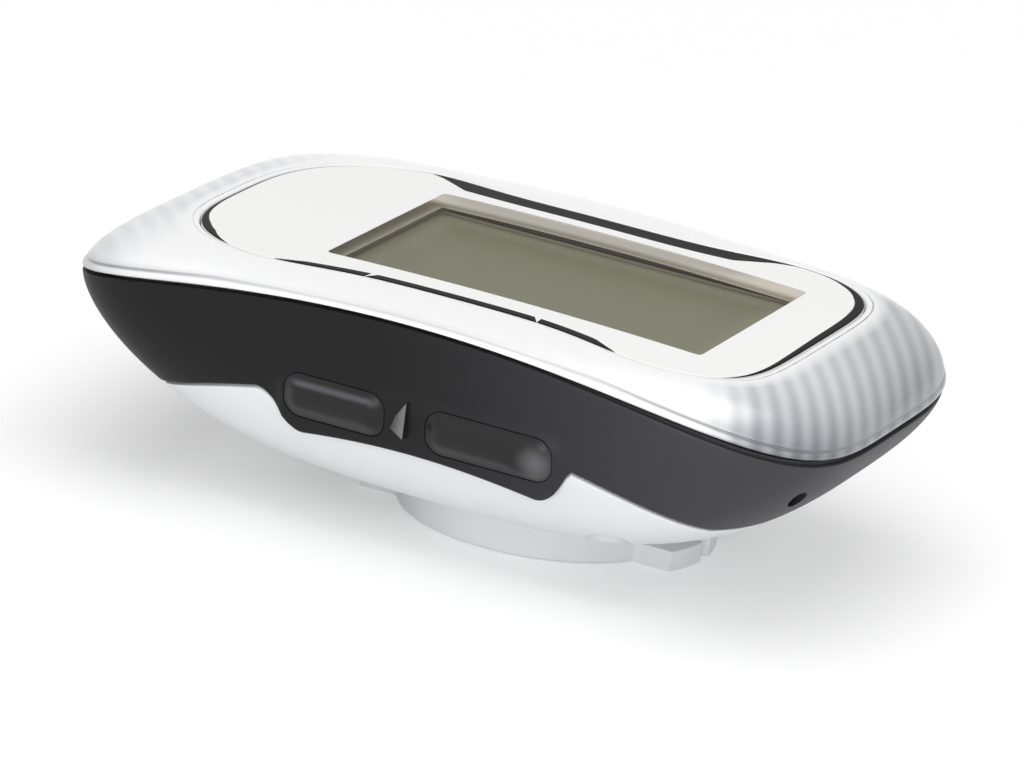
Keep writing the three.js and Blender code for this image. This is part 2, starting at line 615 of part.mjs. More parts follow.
// ---------- buttons and their switches ----------
const SWITCH_FACE = BOARD_WIDTH / 2 - 1.9; // X of the switch's front face
const SWITCH_DEPTH = 2.2;
const SWITCH_HALF_LENGTH = 2.3;
const PLUNGER_RADIUS = 0.65;
const PLUNGER_REACH = BUTTON_TRAVEL + 0.4; // out of the switch, at rest
const PLUNGER_SEATED = 0.7; // and still inside it
const BORE_DEPTH = PLUNGER_SEATED + BUTTON_TRAVEL + 0.2;
const FLANGE_LAP = 0.6; // a button's flange behind the band
const buttonMiddle = ({ from, to }) => (from + to) / 2;

function flangeOutline({ from, to }, grow = 0) {
  const [low, high] = [BUTTON_FLOOR - grow, BUTTON_TOP + 0.5 + grow];
  return roundedRectangle(from - FLANGE_LAP - grow, to + FLANGE_LAP + grow, low, high, 1.2, 3);
}

function buttonCap(button, side) {
  const face = caseForm(BUTTON_PROUD, 0, FINE).subtract(core);
  const flange = liner.subtract(core).intersect(prismAcross(flangeOutline(button), ...sideRange(side)));
  const stem = mirrored(side, SWITCH_FACE + PLUNGER_REACH + SEAT, HALF_WIDTH - 2);
  const cap = union(
    face.intersect(prismAcross(buttonOutline(button, 0), ...sideRange(side))),
    flange,
    rod(0.9, buttonMiddle(button), BUTTON_AXIS, ...stem, 12),
  );
  return button.name === "front" ? cap.subtract(fingerDimple(cap, side)) : cap;
}

// A ball that sinks a little way into a button's face.
function fingerDimple(cap, side) {
  const [y, z] = [DIMPLE.y, BUTTON_AXIS];
  const { min, max } = cap.intersect(rod(SEAT, y, z, ...sideRange(side))).boundingBox();
  const face = side > 0 ? max[0] : min[0];
  const ball = new THREE.SphereGeometry(DIMPLE.radius, 16, 12);
  ball.rotateZ(Math.PI / 2);
  ball.translate(face + side * (DIMPLE.radius - DIMPLE.depth), y, z);
  return solidOf(ball);
}

function switchBody(button, side) {
  const [y, h] = [buttonMiddle(button), BOARD_BOTTOM - SEAT - BUTTON_AXIS];
  const [from, to] = mirrored(side, SWITCH_FACE - SWITCH_DEPTH, SWITCH_FACE);
  const low = [from, y - SWITCH_HALF_LENGTH, BUTTON_AXIS - h];
  const body = block(low, [to, y + SWITCH_HALF_LENGTH, BUTTON_AXIS + h]);
  const bore = mirrored(side, SWITCH_FACE - BORE_DEPTH, SWITCH_FACE + 1);
  return body.subtract(rod(PLUNGER_RADIUS + 0.2, y, BUTTON_AXIS, ...bore, 12));
}

function plunger(button, side) {
  const ends = mirrored(side, SWITCH_FACE - PLUNGER_SEATED, SWITCH_FACE + PLUNGER_REACH);
  return rod(PLUNGER_RADIUS, buttonMiddle(button), BUTTON_AXIS, ...ends, 12);
}

// ---------- back cover with the quarter-turn boss ----------
function quarterTurnBoss() {
  const neck = post(BOSS_RADIUS, 0, BOSS_FORWARD, 0, BOSS_HEIGHT + WALL / 2, 40);
  const disc = post(EAR_TIP_RADIUS, 0, BOSS_FORWARD, 0, EAR_THICKNESS, 56);
  const ears = disc.intersect(chip([EAR_WIDTH, 2 * EAR_TIP_RADIUS + 2, FAR], 0, BOSS_FORWARD, -1));
  const detents = [1, -1].map((end) => {
    const y = BOSS_FORWARD + end * (EAR_TIP_RADIUS + 0.2);
    return post(DETENT_RADIUS, 0, y, -1, EAR_THICKNESS + 1, 12);
  });
  return union(neck, ears).subtract(union(...detents));
}

function backCover() {
  let cover = shell.intersect(below(coverEdge, -SEAM / 2));
  const insideSeal = caseForm(-WALL - LAP_GAP - SEAL - 0.2, 0);
  const columnRoom = outer.intersect(below(coverEdge, -SEAL_HEIGHT - FIT)).add(insideSeal);
  const recess = SCREW_HEAD_RADIUS + SCREW_GAP;
  for (const { x, y } of CASE_SCREWS) {
    const column = post(recess + COLUMN_WALL, x, y, BOSS_HEIGHT + 0.2, BEZEL_BOSS_FOOT - SEAM);
    cover = cover.add(column.intersect(columnRoom));
  }
  cover = cover.add(quarterTurnBoss());
  for (const { x, y } of CASE_SCREWS) {
    cover = cover.subtract(post(recess, x, y, 0, HEAD_SEAT));
    cover = cover.subtract(post(SCREW_RADIUS + SCREW_GAP, x, y, 0, FAR, 12));
  }
  return cover;
}

// A gasket in a ring behind the seam between cover and band, relieved over the screw heads.
function caseSeal() {
  const heads = CASE_SCREWS.map(({ x, y }) => post(SCREW_HEAD_RADIUS + FIT, x, y, 0, HEAD_SEAT + FIT, 12));
  return liner
    .subtract(caseForm(-WALL - LAP_GAP - SEAL, 0))
    .intersect(below(coverEdge, 0.1))
    .intersect(above(coverEdge, -SEAL_HEIGHT))
    .subtract(union(...heads));
}

function caseScrew({ x, y }) {
  const top = HEAD_SEAT - SEAT;
  const head = post(SCREW_HEAD_RADIUS, x, y, top - SCREW_HEAD, top, 14);
  const shank = post(SCREW_RADIUS, x, y, top - SCREW_HEAD / 2, BEZEL_BOSS_HEAD - 1.6, 10);
  const drive = post(SCREW_DRIVE_RADIUS, x, y, 0, top - SCREW_HEAD + SCREW_DRIVE_DEPTH, 6);
  return head.add(shank).subtract(drive);
}

// ---------- charging port ----------
function usbCap() {
  const heel = block([-FAR, HINGE_Y + CAP_HINGE_RADIUS, 0], [FAR, FAR, CAP_LOW + CAP_HEEL]);
  const flap = caseForm(CAP_PROUD, 0).subtract(caseForm(-CAP_DEPTH, -TOP_WALL)).subtract(heel);
  const plug = prismThroughTail(plugOutline(0))
    .intersect(block([-FAR, -FAR, 0], [FAR, PORT_MOUTH - 2 * FIT, FAR]))
    .intersect(outer);
  const roll = rod(CAP_HINGE_RADIUS, HINGE_Y, HINGE_Z, FIT - CAP_WIDTH / 2, CAP_WIDTH / 2 - FIT);
  const ridgeTop = PORT_TOP + CAP_ABOVE - CAP_RIDGE.drop;
  const ridge = roundedRectangle(
    -CAP_RIDGE.width / 2,
    CAP_RIDGE.width / 2,
    ridgeTop - CAP_RIDGE.height,
    ridgeTop,
    0.3,
    2,
  );
  const ridgeSkin = caseForm(CAP_RIDGE.proud, 0).subtract(caseForm(-CAP_DEPTH / 2, 0));
  return union(
    flap.intersect(prismThroughTail(capOutline(0))),
    ridgeSkin.intersect(prismThroughTail(ridge)),
    plug,
    roll,
  );
}

function usbSocket() {
  const [w, d, h] = [PORT_WIDTH - 2 * PORT_WALL, PORT_DEPTH - 1.9, PORT_HEIGHT - 2 * PORT_WALL];
  const z = PORT_TOP - PORT_HEIGHT;
  const body = chip([PORT_WIDTH, PORT_DEPTH, PORT_HEIGHT], 0, PORT_MOUTH + PORT_DEPTH / 2, z);
  const mouth = chip([w, d + 1, h], 0, PORT_MOUTH + (d - 1) / 2, z + PORT_WALL);
  const tongue = chip([w - 2.3, d - 1, 1.1], 0, PORT_MOUTH + d / 2 + 1, PORT_MIDDLE - 0.3);
  return body.subtract(mouth).add(tongue);
}

// ---------- circuit board and what it carries ----------
// The board is notched beside each button, whose flange moves towards it.
function mainBoard() {
  const [w, l] = [BOARD_WIDTH / 2, BOARD_LENGTH / 2];
  const plate = prismUp(roundedRectangle(-w, w, -l, l, BOARD_CORNER, 8), BOARD_BOTTOM, BOARD_TOP);
  const pressed = caseForm(-WALL - LIP - BUTTON_TRAVEL - FIT, 0);
  const cuts = [
    ...CASE_SCREWS.map(({ x, y }) => post(BEZEL_BOSS_RADIUS + FIT, x, y, 0, FAR)),
    ...BOARD_SCREWS.map(({ x, y }) => post(BOARD_SCREW_RADIUS + FIT, x, y, 0, FAR, 12)),
    ...[1, -1].flatMap((side) =>
      BUTTONS.map((b) => prismAcross(flangeOutline(b, FIT), ...sideRange(side)).subtract(pressed)),
    ),
  ];
  return plate.subtract(union(...cuts));
}

const onTop = (size, x, y) => chip(size, x, y, BOARD_TOP + SEAT);
const underneath = (size, x, y) => chip(size, x, y, BOARD_BOTTOM - SEAT - size[2]);

function boardScrew({ x, y }) {
  const top = BOARD_BOTTOM - SEAT;
  const head = post(BOARD_SCREW_HEAD_RADIUS, x, y, top - BOARD_SCREW_HEAD, top, 14);
  const shank = post(BOARD_SCREW_RADIUS, x, y, top - BOARD_SCREW_HEAD / 2, TRAY_BOTTOM + 0.1, 10);
  const drive = post(0.5, x, y, 0, top - BOARD_SCREW_HEAD / 2, 6);
  return head.add(shank.subtract(drive)).subtract(drive);
}

// A round sounder with its outlet facing down.
function buzzer() {
  const [radius, height, top] = [4.6, 2.4, BOARD_BOTTOM - SEAT];
  const y = BOARD_LENGTH / 2 - radius;
  return post(radius, 0, y, top - height, top, 24).subtract(post(0.6, 0, y, 0, top - 1.6, 10));
}

// A folded can, open towards the board.
function shieldCan() {
  const [w, l, h] = [14, 12, 1.8];
  const [x, y, sheet] = [-6, -8, 0.3];
  return underneath([w, l, h], x, y).subtract(
    chip([w - 2 * sheet, l - 2 * sheet, h], x, y, BOARD_BOTTOM - SEAT - h + sheet),
  );
}

// ---------- battery ----------
const BATTERY_MIDDLE = (BATTERY_NOSE + BATTERY_TAIL) / 2;
const CONNECTOR_Y = BATTERY_TAIL - CONNECTOR.behind;

// A pouch whose lower edges are shaped to the cover's belly where they would touch it.
function battery() {
  const plan = roundedRectangle(-BATTERY_WIDTH / 2, BATTERY_WIDTH / 2, BATTERY_TAIL, BATTERY_NOSE, 1.6, 4);
  const pouch = prismUp(plan, BATTERY_BOTTOM, BATTERY_BOTTOM + BATTERY_THICKNESS);
  return pouch.intersect(caseForm(-WALL - BATTERY_ROOM, -TOP_WALL));
}

// Foam between the cover's floor and the battery.
function batteryPad() {
  const bottom = BOSS_HEIGHT + WALL + SEAT;
  return chip([...PAD, BATTERY_BOTTOM - SEAT - bottom], 0, BATTERY_MIDDLE, bottom);
}

// A wire that leaves the battery's tail, turns up and back, and enters the connector.
function batteryLead(x) {
  const low = BATTERY_BOTTOM + 1.6;
  const high = BOARD_BOTTOM - SEAT - CONNECTOR.size[2] / 2;
  const end = CONNECTOR_Y - CONNECTOR.size[1] / 2 - 2 * SEAT;
  const route = new THREE.CatmullRomCurve3([
    new THREE.Vector3(x, BATTERY_TAIL - 2 * SEAT, low),
    new THREE.Vector3(x, end, low),
    new THREE.Vector3(x, end - 2.2, (low + high) / 2),
    new THREE.Vector3(x, end - 1, high),
    new THREE.Vector3(x, end, high),
  ]);
  const section = new THREE.Shape().absarc(0, 0, LEAD_RADIUS, 0, 2 * Math.PI);
  return solidOf(new THREE.ExtrudeGeometry(section, { steps: 10, curveSegments: 4, extrudePath: route }));
}

// ---------- assembly ----------
function finish(color, roughness, metalness = 0) {
  return new THREE.MeshStandardMaterial({ color, roughness, metalness });
}

const SILVER = finish(0xd4d6d9, 0.28, 0.35);
const CLEAR = finish(0xf2f2f0, 0.08);
const CHARCOAL = finish(0x2d2d2f, 0.55);
const WHITE = finish(0xe6e7ea, 0.38);
const RUBBER = finish(0x1c1c1d, 0.8);
const DISPLAY = finish(0x77765f, 0.3);
const MILKY = finish(0xdfe3da, 0.4);
const BLACK_PLASTIC = finish(0x18181a, 0.5);
const GREEN = finish(0x1d4a31, 0.45);
const STEEL = finish(0x8d9094, 0.3, 0.9);
const AMBER = finish(0x9a6a2a, 0.5);
const CERAMIC = finish(0xc9b48f, 0.6);
const FOIL = finish(0xb9bcc0, 0.35, 0.6);
const FOAM = finish(0x303236, 0.95);
const RED = finish(0xa3201c, 0.5);

const group = new THREE.Group();
const device = new THREE.Group();
device.position.y = -BOSS_FORWARD; // the pieces above are placed from the case's middle
group.add(device);

function place(name, solid, material) {
  const mesh = new THREE.Mesh(geometryOf(solid), material);
  mesh.name = name;
  device.add(mesh);
}

place("front_bezel", frontBezel(), SILVER);
place("display_lens", displayLens(), CLEAR);
place("lens_adhesive", lensAdhesive(), FOAM);
place("display_panel", displayPanel(), DISPLAY);
place("light_guide", lightGuide(), MILKY);
place("display_tray", displayTray(), BLACK_PLASTIC);
place("display_flex", displayFlex(), AMBER);
place("side_band", sideBand(), CHARCOAL);
place("back_cover", backCover(), WHITE);
place("case_seal", caseSeal(), RUBBER);
place("usb_cap", usbCap(), RUBBER);
place("usb_socket", usbSocket(), STEEL);
place("main_board", mainBoard(), GREEN);
place("gps_antenna", onTop([11, 11, 2.8], 0, 5.4 - BOARD_LENGTH / 2), CERAMIC);
place("processor", onTop([8, 8, 0.8], -6, -2), BLACK_PLASTIC);
place("memory_chip", onTop([6, 8, 0.8], 5, -2), BLACK_PLASTIC);
place("radio_chip", onTop([4, 4, 0.8], 8, 13), BLACK_PLASTIC);
place("chip_antenna", onTop([7, 1.6, 1], 0, BOARD_LENGTH / 2 - 1.2), CERAMIC);
place("shield_can", shieldCan(), STEEL);
place("power_chip", underneath([4, 4, 0.9], 9, -10), BLACK_PLASTIC);
place("pressure_sensor", underneath([3, 3, 1], BOARD_WIDTH / 2 - 7.3, BOARD_LENGTH / 2 - 4), STEEL);
place("port_membrane", portMembrane(), FOAM);
place("buzzer", buzzer(), BLACK_PLASTIC);
place("battery", battery(), FOIL);
place("battery_pad", batteryPad(), FOAM);
place("battery_connector", underneath(CONNECTOR.size, CONNECTOR.x, CONNECTOR_Y), MILKY);
place("battery_lead_positive", batteryLead(CONNECTOR.x - LEAD_SPREAD), RED);
place("battery_lead_negative", batteryLead(CONNECTOR.x + LEAD_SPREAD), BLACK_PLASTIC);
for (const [sideName, side] of [["right", 1], ["left", -1]]) {
  for (const button of BUTTONS) {
    const where = `${sideName}_${button.name}`;
    place(`button_${where}`, buttonCap(button, side), CHARCOAL);
    place(`plunger_${where}`, plunger(button, side), BLACK_PLASTIC);
    place(`switch_${where}`, switchBody(button, side), STEEL);
  }
}
for (const screw of CASE_SCREWS) place(`case_screw_${screw.name}`, caseScrew(screw), STEEL);
for (const screw of BOARD_SCREWS) place(`board_screw_${screw.name}`, boardScrew(screw), STEEL);

export default group;
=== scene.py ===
"""A cycling computer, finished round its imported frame: lacquered bezel, printed lens, soft buttons.

The frame is in metres, with +Z out of the display, +Y to the nose and +X to the rider's right.
Sizes below are in millimetres from the middle of the case, as a maker's drawing would give them. The
axis of the boss on its back is the frame's origin, 4 mm nearer the nose than that middle.
"""

import math

import bmesh
import bpy
import numpy as np
from mathutils import Matrix, Vector


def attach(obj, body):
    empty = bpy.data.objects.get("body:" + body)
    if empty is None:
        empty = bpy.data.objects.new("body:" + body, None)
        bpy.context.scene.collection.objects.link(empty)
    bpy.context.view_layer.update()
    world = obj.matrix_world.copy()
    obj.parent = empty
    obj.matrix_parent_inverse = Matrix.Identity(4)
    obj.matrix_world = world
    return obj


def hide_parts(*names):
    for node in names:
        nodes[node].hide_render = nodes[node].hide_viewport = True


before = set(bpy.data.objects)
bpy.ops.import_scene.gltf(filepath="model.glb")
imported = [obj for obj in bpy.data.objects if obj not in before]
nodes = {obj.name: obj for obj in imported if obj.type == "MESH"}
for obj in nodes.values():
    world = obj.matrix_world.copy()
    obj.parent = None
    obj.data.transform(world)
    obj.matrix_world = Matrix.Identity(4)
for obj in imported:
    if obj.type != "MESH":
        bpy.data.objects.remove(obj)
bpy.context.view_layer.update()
bpy.ops.object.select_all(action="DESELECT")


# ---------------------------------------------------------------- studio
# A white table under one large overhead softbox, with a key and a low fill from the rider's right and
# a weak fill from the nose. The eye is a little above the case, off its right side towards the nose.
EYE = Vector((0.5690, 0.2108, 0.2011))
UPRIGHT = Vector((-0.2327, -0.2525, 0.9392))
AIM = Vector((0.0005, -0.0040, 0.0108))

camera = bpy.data.objects.new("camera", bpy.data.cameras.new("camera"))
bpy.context.scene.collection.objects.link(camera)
backward = (EYE - AIM).normalized()
sideways = UPRIGHT.cross(backward).normalized()
turned = Matrix((sideways, backward.cross(sideways), backward)).transposed()
camera.matrix_world = Matrix.Translation(EYE) @ turned.to_4x4()
camera.data.lens = 262
camera.data.clip_start = 0.01
bpy.context.scene.camera = camera


def softbox(name, place, aim, width, height, watts):
    lamp = bpy.data.objects.new(name, bpy.data.lights.new(name, "AREA"))
    bpy.context.scene.collection.objects.link(lamp)
    lamp.data.shape = "RECTANGLE"
    lamp.data.size = width
    lamp.data.size_y = height
    lamp.data.energy = watts
    towards = (Vector(place) - Vector(aim)).to_track_quat("Z", "Y")
    lamp.matrix_world = Matrix.Translation(place) @ towards.to_matrix().to_4x4()


softbox("overhead softbox", (0.10, 0.02, 0.75), (0, 0, 0), 0.80, 0.80, 3.05)
softbox("front key", (0.62, 0.12, 0.42), (0, 0, 0.01), 0.60, 0.30, 0.6)
softbox("corner fill", (0.64, 0.26, 0.09), (0, 0, 0.01), 0.50, 0.16, 1.3)
softbox("nose fill", (0.28, 0.75, 0.10), (0, 0, 0.01), 0.60, 0.35, 0.3)


def add(tree, kind, **wires):
    """A node with its settings and its sockets set, or wired where the value is a socket."""
    node = tree.nodes.new("ShaderNode" + kind)
    for name, value in wires.items():
        socket = name.replace("_", " ")
        key = int(socket[1:]) if socket[:1] == " " else socket
        if isinstance(key, str) and key not in node.inputs and hasattr(node, name):
            setattr(node, name, value)
        elif isinstance(value, bpy.types.NodeSocket):
            tree.links.new(value, node.inputs[key])
        else:
            node.inputs[key].default_value = value
    return node


def reckon(tree, operation, first, second=0.0, third=0.0, clamp=False):
    """The result of one step of arithmetic."""
    node = add(tree, "Math", operation=operation, use_clamp=clamp, _0=first, _1=second, _2=third)
    return node.outputs[0]


def eased(tree, value, start, end, most=1.0, least=0.0):
    """A soft change from least to most, as the value goes from start to end."""
    node = add(tree, "MapRange", interpolation_type="SMOOTHSTEP", Value=value, From_Min=start, From_Max=end,
               To_Min=least, To_Max=most)
    return node.outputs["Result"]


def background_rays(tree, low, high):
    """A low value for light that falls on the object, a high one where the background itself is seen."""
    rays = add(tree, "LightPath").outputs
    shown = reckon(tree, "MAXIMUM", rays["Is Camera Ray"], rays["Is Glossy Ray"])
    shown = reckon(tree, "MAXIMUM", shown, rays["Is Transmission Ray"])
    return add(tree, "MapRange", Value=shown, To_Min=low, To_Max=high).outputs["Result"]


world = bpy.data.worlds.new("studio")
bpy.context.scene.world = world
world.use_nodes = True
air = world.node_tree
air.nodes["Background"].inputs["Color"].default_value = (1, 1, 1, 1)
air.links.new(background_rays(air, 0.42, 1.0), air.nodes["Background"].inputs["Strength"])
bpy.context.scene.view_settings.view_transform = "Standard"

bpy.ops.mesh.primitive_plane_add(size=6, location=(0, 0, 0))
table = bpy.context.object
table.name = "table"
table_top = bpy.data.materials.new("white table")
table_top.use_nodes = True
paper = table_top.node_tree
top_sockets = paper.nodes["Principled BSDF"].inputs
top_sockets["Base Color"].default_value = (0.86, 0.86, 0.86, 1)
top_sockets["Roughness"].default_value = 0.95
top_sockets["Emission Color"].default_value = (1, 1, 1, 1)
spot = add(paper, "TexCoord").outputs["Object"]
metres_off = add(paper, "VectorMath", operation="LENGTH", _0=spot).outputs["Value"]
glow = background_rays(paper, 0.0, eased(paper, metres_off, 0.12, 0.9, 0.85, least=0.27))
paper.links.new(glow, top_sockets["Emission Strength"])
table.data.materials.append(table_top)


# ---------------------------------------------------------------- front bezel
# One moulding of tough plastic: a shelf for the lens, a top that rolls down to the rim with a fine
# bead along it, and a lip that laps inside the band. Pearl white, with a silver weave under the
# lacquer at nose and tail.
MM = 0.001
BOSS_FORWARD = 4.0
HALF_WIDTH, HALF_LENGTH = 23.6, 34.5
LENS_TOP, RIM_CREST, BELLY = 22.0, 20.9, 3.8
CROWN_FALL, RIM_FALL = 1.3, 4.76
LENS_THICK = 1.3
LENS_MIDDLE = np.array([0, -0.7])
BELLY_MIDDLE = np.array([0, 2.0])
WINDOW_FORWARD = 3.4
WALL = 1.6
HALF_SEAM = 0.125
AROUND = np.arange(768) / 768


def swatch(code):
    """A colour from its six-figure code, as light."""
    parts = [int(code[k : k + 2], 16) / 255 for k in (0, 2, 4)]
    light = [p / 12.92 if p <= 0.04045 else ((p + 0.055) / 1.055) ** 2.4 for p in parts]
    return (*light, 1)


def finish(name, code, roughness, **sockets):
    """A new finish, with its colour and gloss on the shader's own sockets."""
    paint = bpy.data.materials.new(name)
    paint.use_nodes = True
    shader = paint.node_tree.nodes["Principled BSDF"]
    shader.inputs["Base Color"].default_value = swatch(code)
    shader.inputs["Roughness"].default_value = roughness
    for socket, value in sockets.items():
        shader.inputs[socket.replace("_", " ")].default_value = value
    return paint, paint.node_tree, shader


def away_from(tree, value, middle):
    """How far a measure lies from a middle line, to either side."""
    return reckon(tree, "ABSOLUTE", reckon(tree, "SUBTRACT", value, middle))


def blend(tree, share, first, second):
    """One colour or the other by a share of 0 to 1."""
    node = tree.nodes.new("ShaderNodeMix")
    node.data_type = "RGBA"
    for key, value in ((0, share), (6, first), (7, second)):
        if isinstance(value, bpy.types.NodeSocket):
            tree.links.new(value, node.inputs[key])
        else:
            node.inputs[key].default_value = swatch(value) if isinstance(value, str) else value
    return node.outputs[2]


def case_place(tree):
    """Where a point is on the case, in millimetres from its middle: across, along, up and all three."""
    place = add(tree, "TexCoord").outputs["Object"]
    scaled = add(tree, "Mapping", Vector=place, Location=(0, BOSS_FORWARD, 0), Scale=(1000, 1000, 1000))
    return *add(tree, "SeparateXYZ", Vector=scaled.outputs[0]).outputs, scaled.outputs[0]


def noise(tree, place, scale, detail=2):
    return add(tree, "TexNoise", Vector=place, Scale=scale, Detail=detail).outputs["Fac"]


def bumped(tree, shader, height, depth):
    bump = add(tree, "Bump", Height=height, Distance=depth * MM)
    tree.links.new(bump.outputs[0], shader.inputs["Normal"])


def squared_oval(share, width, nose, tail, nose_power, tail_power):
    """An outline with its own power at nose and tail: 2 is an ellipse, and more is squarer."""
    turn = 2 * np.pi * share
    angle = turn + 0.125 * np.sin(4 * turn)
    across, along = np.cos(angle), np.sin(angle)
    power = np.where(along >= 0, nose_power, tail_power)
    reach = (np.abs(across) ** power + np.abs(along) ** power) ** (-1 / power)
    return np.stack([width * across * reach, np.where(along >= 0, nose, tail) * along * reach], -1)


def rim_line(share, skin=0.0):
    return squared_oval(share, HALF_WIDTH + skin, HALF_LENGTH + skin, HALF_LENGTH + skin, 4.2, 6.3)


def belly_line(share, skin=0.0):
    return squared_oval(share, 13.5 + skin, 16 + skin, 16 + skin, 2.6, 2.6) + BELLY_MIDDLE


def lens_line(share, skin=0.0):
    """The lens's outline, a squared oval drawn in to a waist beside the display."""
    half_width, waist = 19.7, 3.25
    line = squared_oval(share, half_width + skin, 26.4 + skin, 27.8 + skin, 5.2, 3.2)
    line[..., 0] *= 1 - (waist / half_width) * np.exp(-((line[..., 1] / 15) ** 4))
    return line


def crown(y):
    return LENS_TOP - CROWN_FALL * (y / HALF_LENGTH) ** 2


def rim_height(y):
    return RIM_CREST - RIM_FALL * ((y + 1.4) / HALF_LENGTH) ** 2


def lifted(line, height):
    return np.concatenate([line, np.broadcast_to(height, line.shape[:-1])[..., None]], -1)


def rolled_top(share, rise, skin=0.0, top_skin=None):
    """The bezel's top at a rise of 0 at the rim to 1 at the lens."""
    rim, lens = rim_line(share, skin), lens_line(share, skin)
    inward = 1 - np.sqrt(np.clip(1 - np.asarray(rise) ** 2, 0, 1))
    line = rim + (lens - rim) * np.broadcast_to(inward, rim.shape[:-1])[..., None]
    foot, head = rim_height(rim[..., 1]), crown(lens[..., 1]) + (skin if top_skin is None else top_skin)
    return lifted(line, foot + (head - foot) * rise)


def wall_fullness(rim):
    """How far the side wall bulges: full along the sides, lean at nose and tail."""
    return 1.5 + 0.8 * (1 - np.abs(rim[..., 1] / HALF_LENGTH) ** 3)


def side_wall(share, depth, skin=0.0):
    """The side of the case at a depth of 0 at the rim to 1 at the belly."""
    skin = np.asarray(skin, float)[..., None] if np.ndim(skin) else skin
    flat_skin = skin[..., 0] if np.ndim(skin) else skin
    rim = rim_line(share)
    outset = rim_line(share, 1.0) - rim
    belly_outset = belly_line(share, 1.0) - belly_line(share)
    fullness = wall_fullness(rim)
    outward = (1 - np.clip(depth, 0, 1) ** fullness) ** (1 / fullness)
    top, bottom = rim + outset * skin, belly_line(share) + belly_outset * skin
    head = rim_height(rim[..., 1])
    return lifted(bottom + (top - bottom) * outward[..., None], head + (BELLY - flat_skin - head) * depth)


def depth_at(share, height, skin=0.0):
    """The side wall's depth where it has a given height."""
    head = rim_height(rim_line(share)[..., 1])
    return np.clip((head - height) / (head - BELLY + skin), 0, 1)


def pick(piece):
    """This piece alone selected and active."""
    bpy.ops.object.select_all(action="DESELECT")
    bpy.context.view_layer.objects.active = piece
    piece.select_set(True)


def finished(piece, angle=32):
    """Faces turned outward, and smooth shading up to the real edges."""
    pick(piece)
    bpy.ops.object.mode_set(mode="EDIT")
    bpy.ops.mesh.select_all(action="SELECT")
    bpy.ops.mesh.remove_doubles(threshold=0.003 * MM)
    bpy.ops.mesh.normals_make_consistent(inside=False)
    bpy.ops.object.mode_set(mode="OBJECT")
    bpy.ops.object.shade_smooth_by_angle(angle=math.radians(angle))
    piece.select_set(False)
    return piece


def made_of(name, points, edges, faces):
    """A piece from points in millimetres from the middle of the case."""
    mesh = bpy.data.meshes.new(name)
    mesh.from_pydata(((np.array(points) - (0, BOSS_FORWARD, 0)) * MM).tolist(), edges, faces)
    piece = bpy.data.objects.new(name, mesh)
    bpy.context.scene.collection.objects.link(piece)
    return piece


def wrapped(name, rows, tip=None, foot=None, filled_ends=False):
    """A skin of rings. It ends in points, or in filled ends, or its last ring meets its first."""
    rings = [np.asarray(row, float) for row in rows]
    count, depth = len(rings[0]), len(rings)
    last = (depth - 1) * count
    points = np.concatenate(rings)
    faces = []
    for row in range(depth - 1 if filled_ends or tip else depth):
        here, below = row * count, ((row + 1) % depth) * count
        for k in range(count):
            after = (k + 1) % count
            faces.append((here + k, below + k, below + after, here + after))
    for point, ring in ((tip, 0), (foot, last)):
        if point is not None:
            middle = len(points)
            points = np.concatenate([points, [point]])
            faces += [(ring + k, ring + (k + 1) % count, middle) for k in range(count)]
    for ring, first in ((rings[0], 0), (rings[-1], last)):
        if filled_ends and np.ptp(ring[:, 2]) > 0.01:
            faces.append(tuple(range(first, first + count)))
    return finished(made_of(name, points, [], faces))


def coat(piece, paint):
    piece.data.materials.clear()
    piece.data.materials.append(paint)
    piece.data.polygons.foreach_set("material_index", [0] * len(piece.data.polygons))


def display_opening(share, grow=0.0):
    window = squared_oval(share, 14 + grow, 18.8 + grow, 18.8 + grow, 14, 14)
    return window + np.array([0, WINDOW_FORWARD])


def rim_lift(share, lift, skin=0.0):
    """A ring of the rolled top a few tenths above the rim."""
    rim, lens = rim_line(share), lens_line(share)
    rise = lift / (crown(lens[..., 1]) - rim_height(rim[..., 1]))
    ring = rolled_top(share, np.abs(rise), skin)
    ring[..., 2] = rim_height(rim[..., 1]) + lift
    return ring


# Each pair is how far a ring lies outside the window's or the lens's line, and how far down it is: from
# the lens's crown, and for the groove from the rolled top.
WINDOW_EDGE = [(0, 2.6), (0, 1.6), (0.1, 1.5)]
LENS_SEAT = [(-0.1, 1.5), (0, 1.4), (0, 0.20), (0.02, 0.12), (0.07, 0.05), (0.16, 0.012)]
SEAT_GROOVE = [(0.42, 0.0), (0.50, 0.005), (0.54, 0.09), (0.64, 0.09), (0.68, 0.005), (0.76, 0.0)]
lens = lens_line(AROUND)
window_crown = crown(display_opening(AROUND)[:, 1])
lens_crown = crown(lens[:, 1])
rim_level = rim_height(rim_line(AROUND)[:, 1])
bezel_rows = [lifted(display_opening(AROUND, grow), window_crown - drop) for grow, drop in WINDOW_EDGE]
bezel_rows += [lifted(lens_line(AROUND, grow), lens_crown - drop) for grow, drop in LENS_SEAT]
reach = np.linalg.norm(rim_line(AROUND) - lens, axis=-1)
groove_row = len(bezel_rows)
for away, sink in SEAT_GROOVE:
    ring = rolled_top(AROUND, np.sqrt(1 - (away / reach) ** 2))
    bezel_rows.append(ring - np.array([0, 0, sink]))
roll = lens_crown - rim_level
slim = np.clip(roll / 2.2, 0.45, 1)
foot_turn = np.arcsin((HALF_SEAM + 1.0 * slim) / roll)
for share in np.linspace(0, 1, 17):
    bezel_rows.append(rolled_top(AROUND, np.sin(math.radians(74) * (1 - share) + foot_turn * share)))

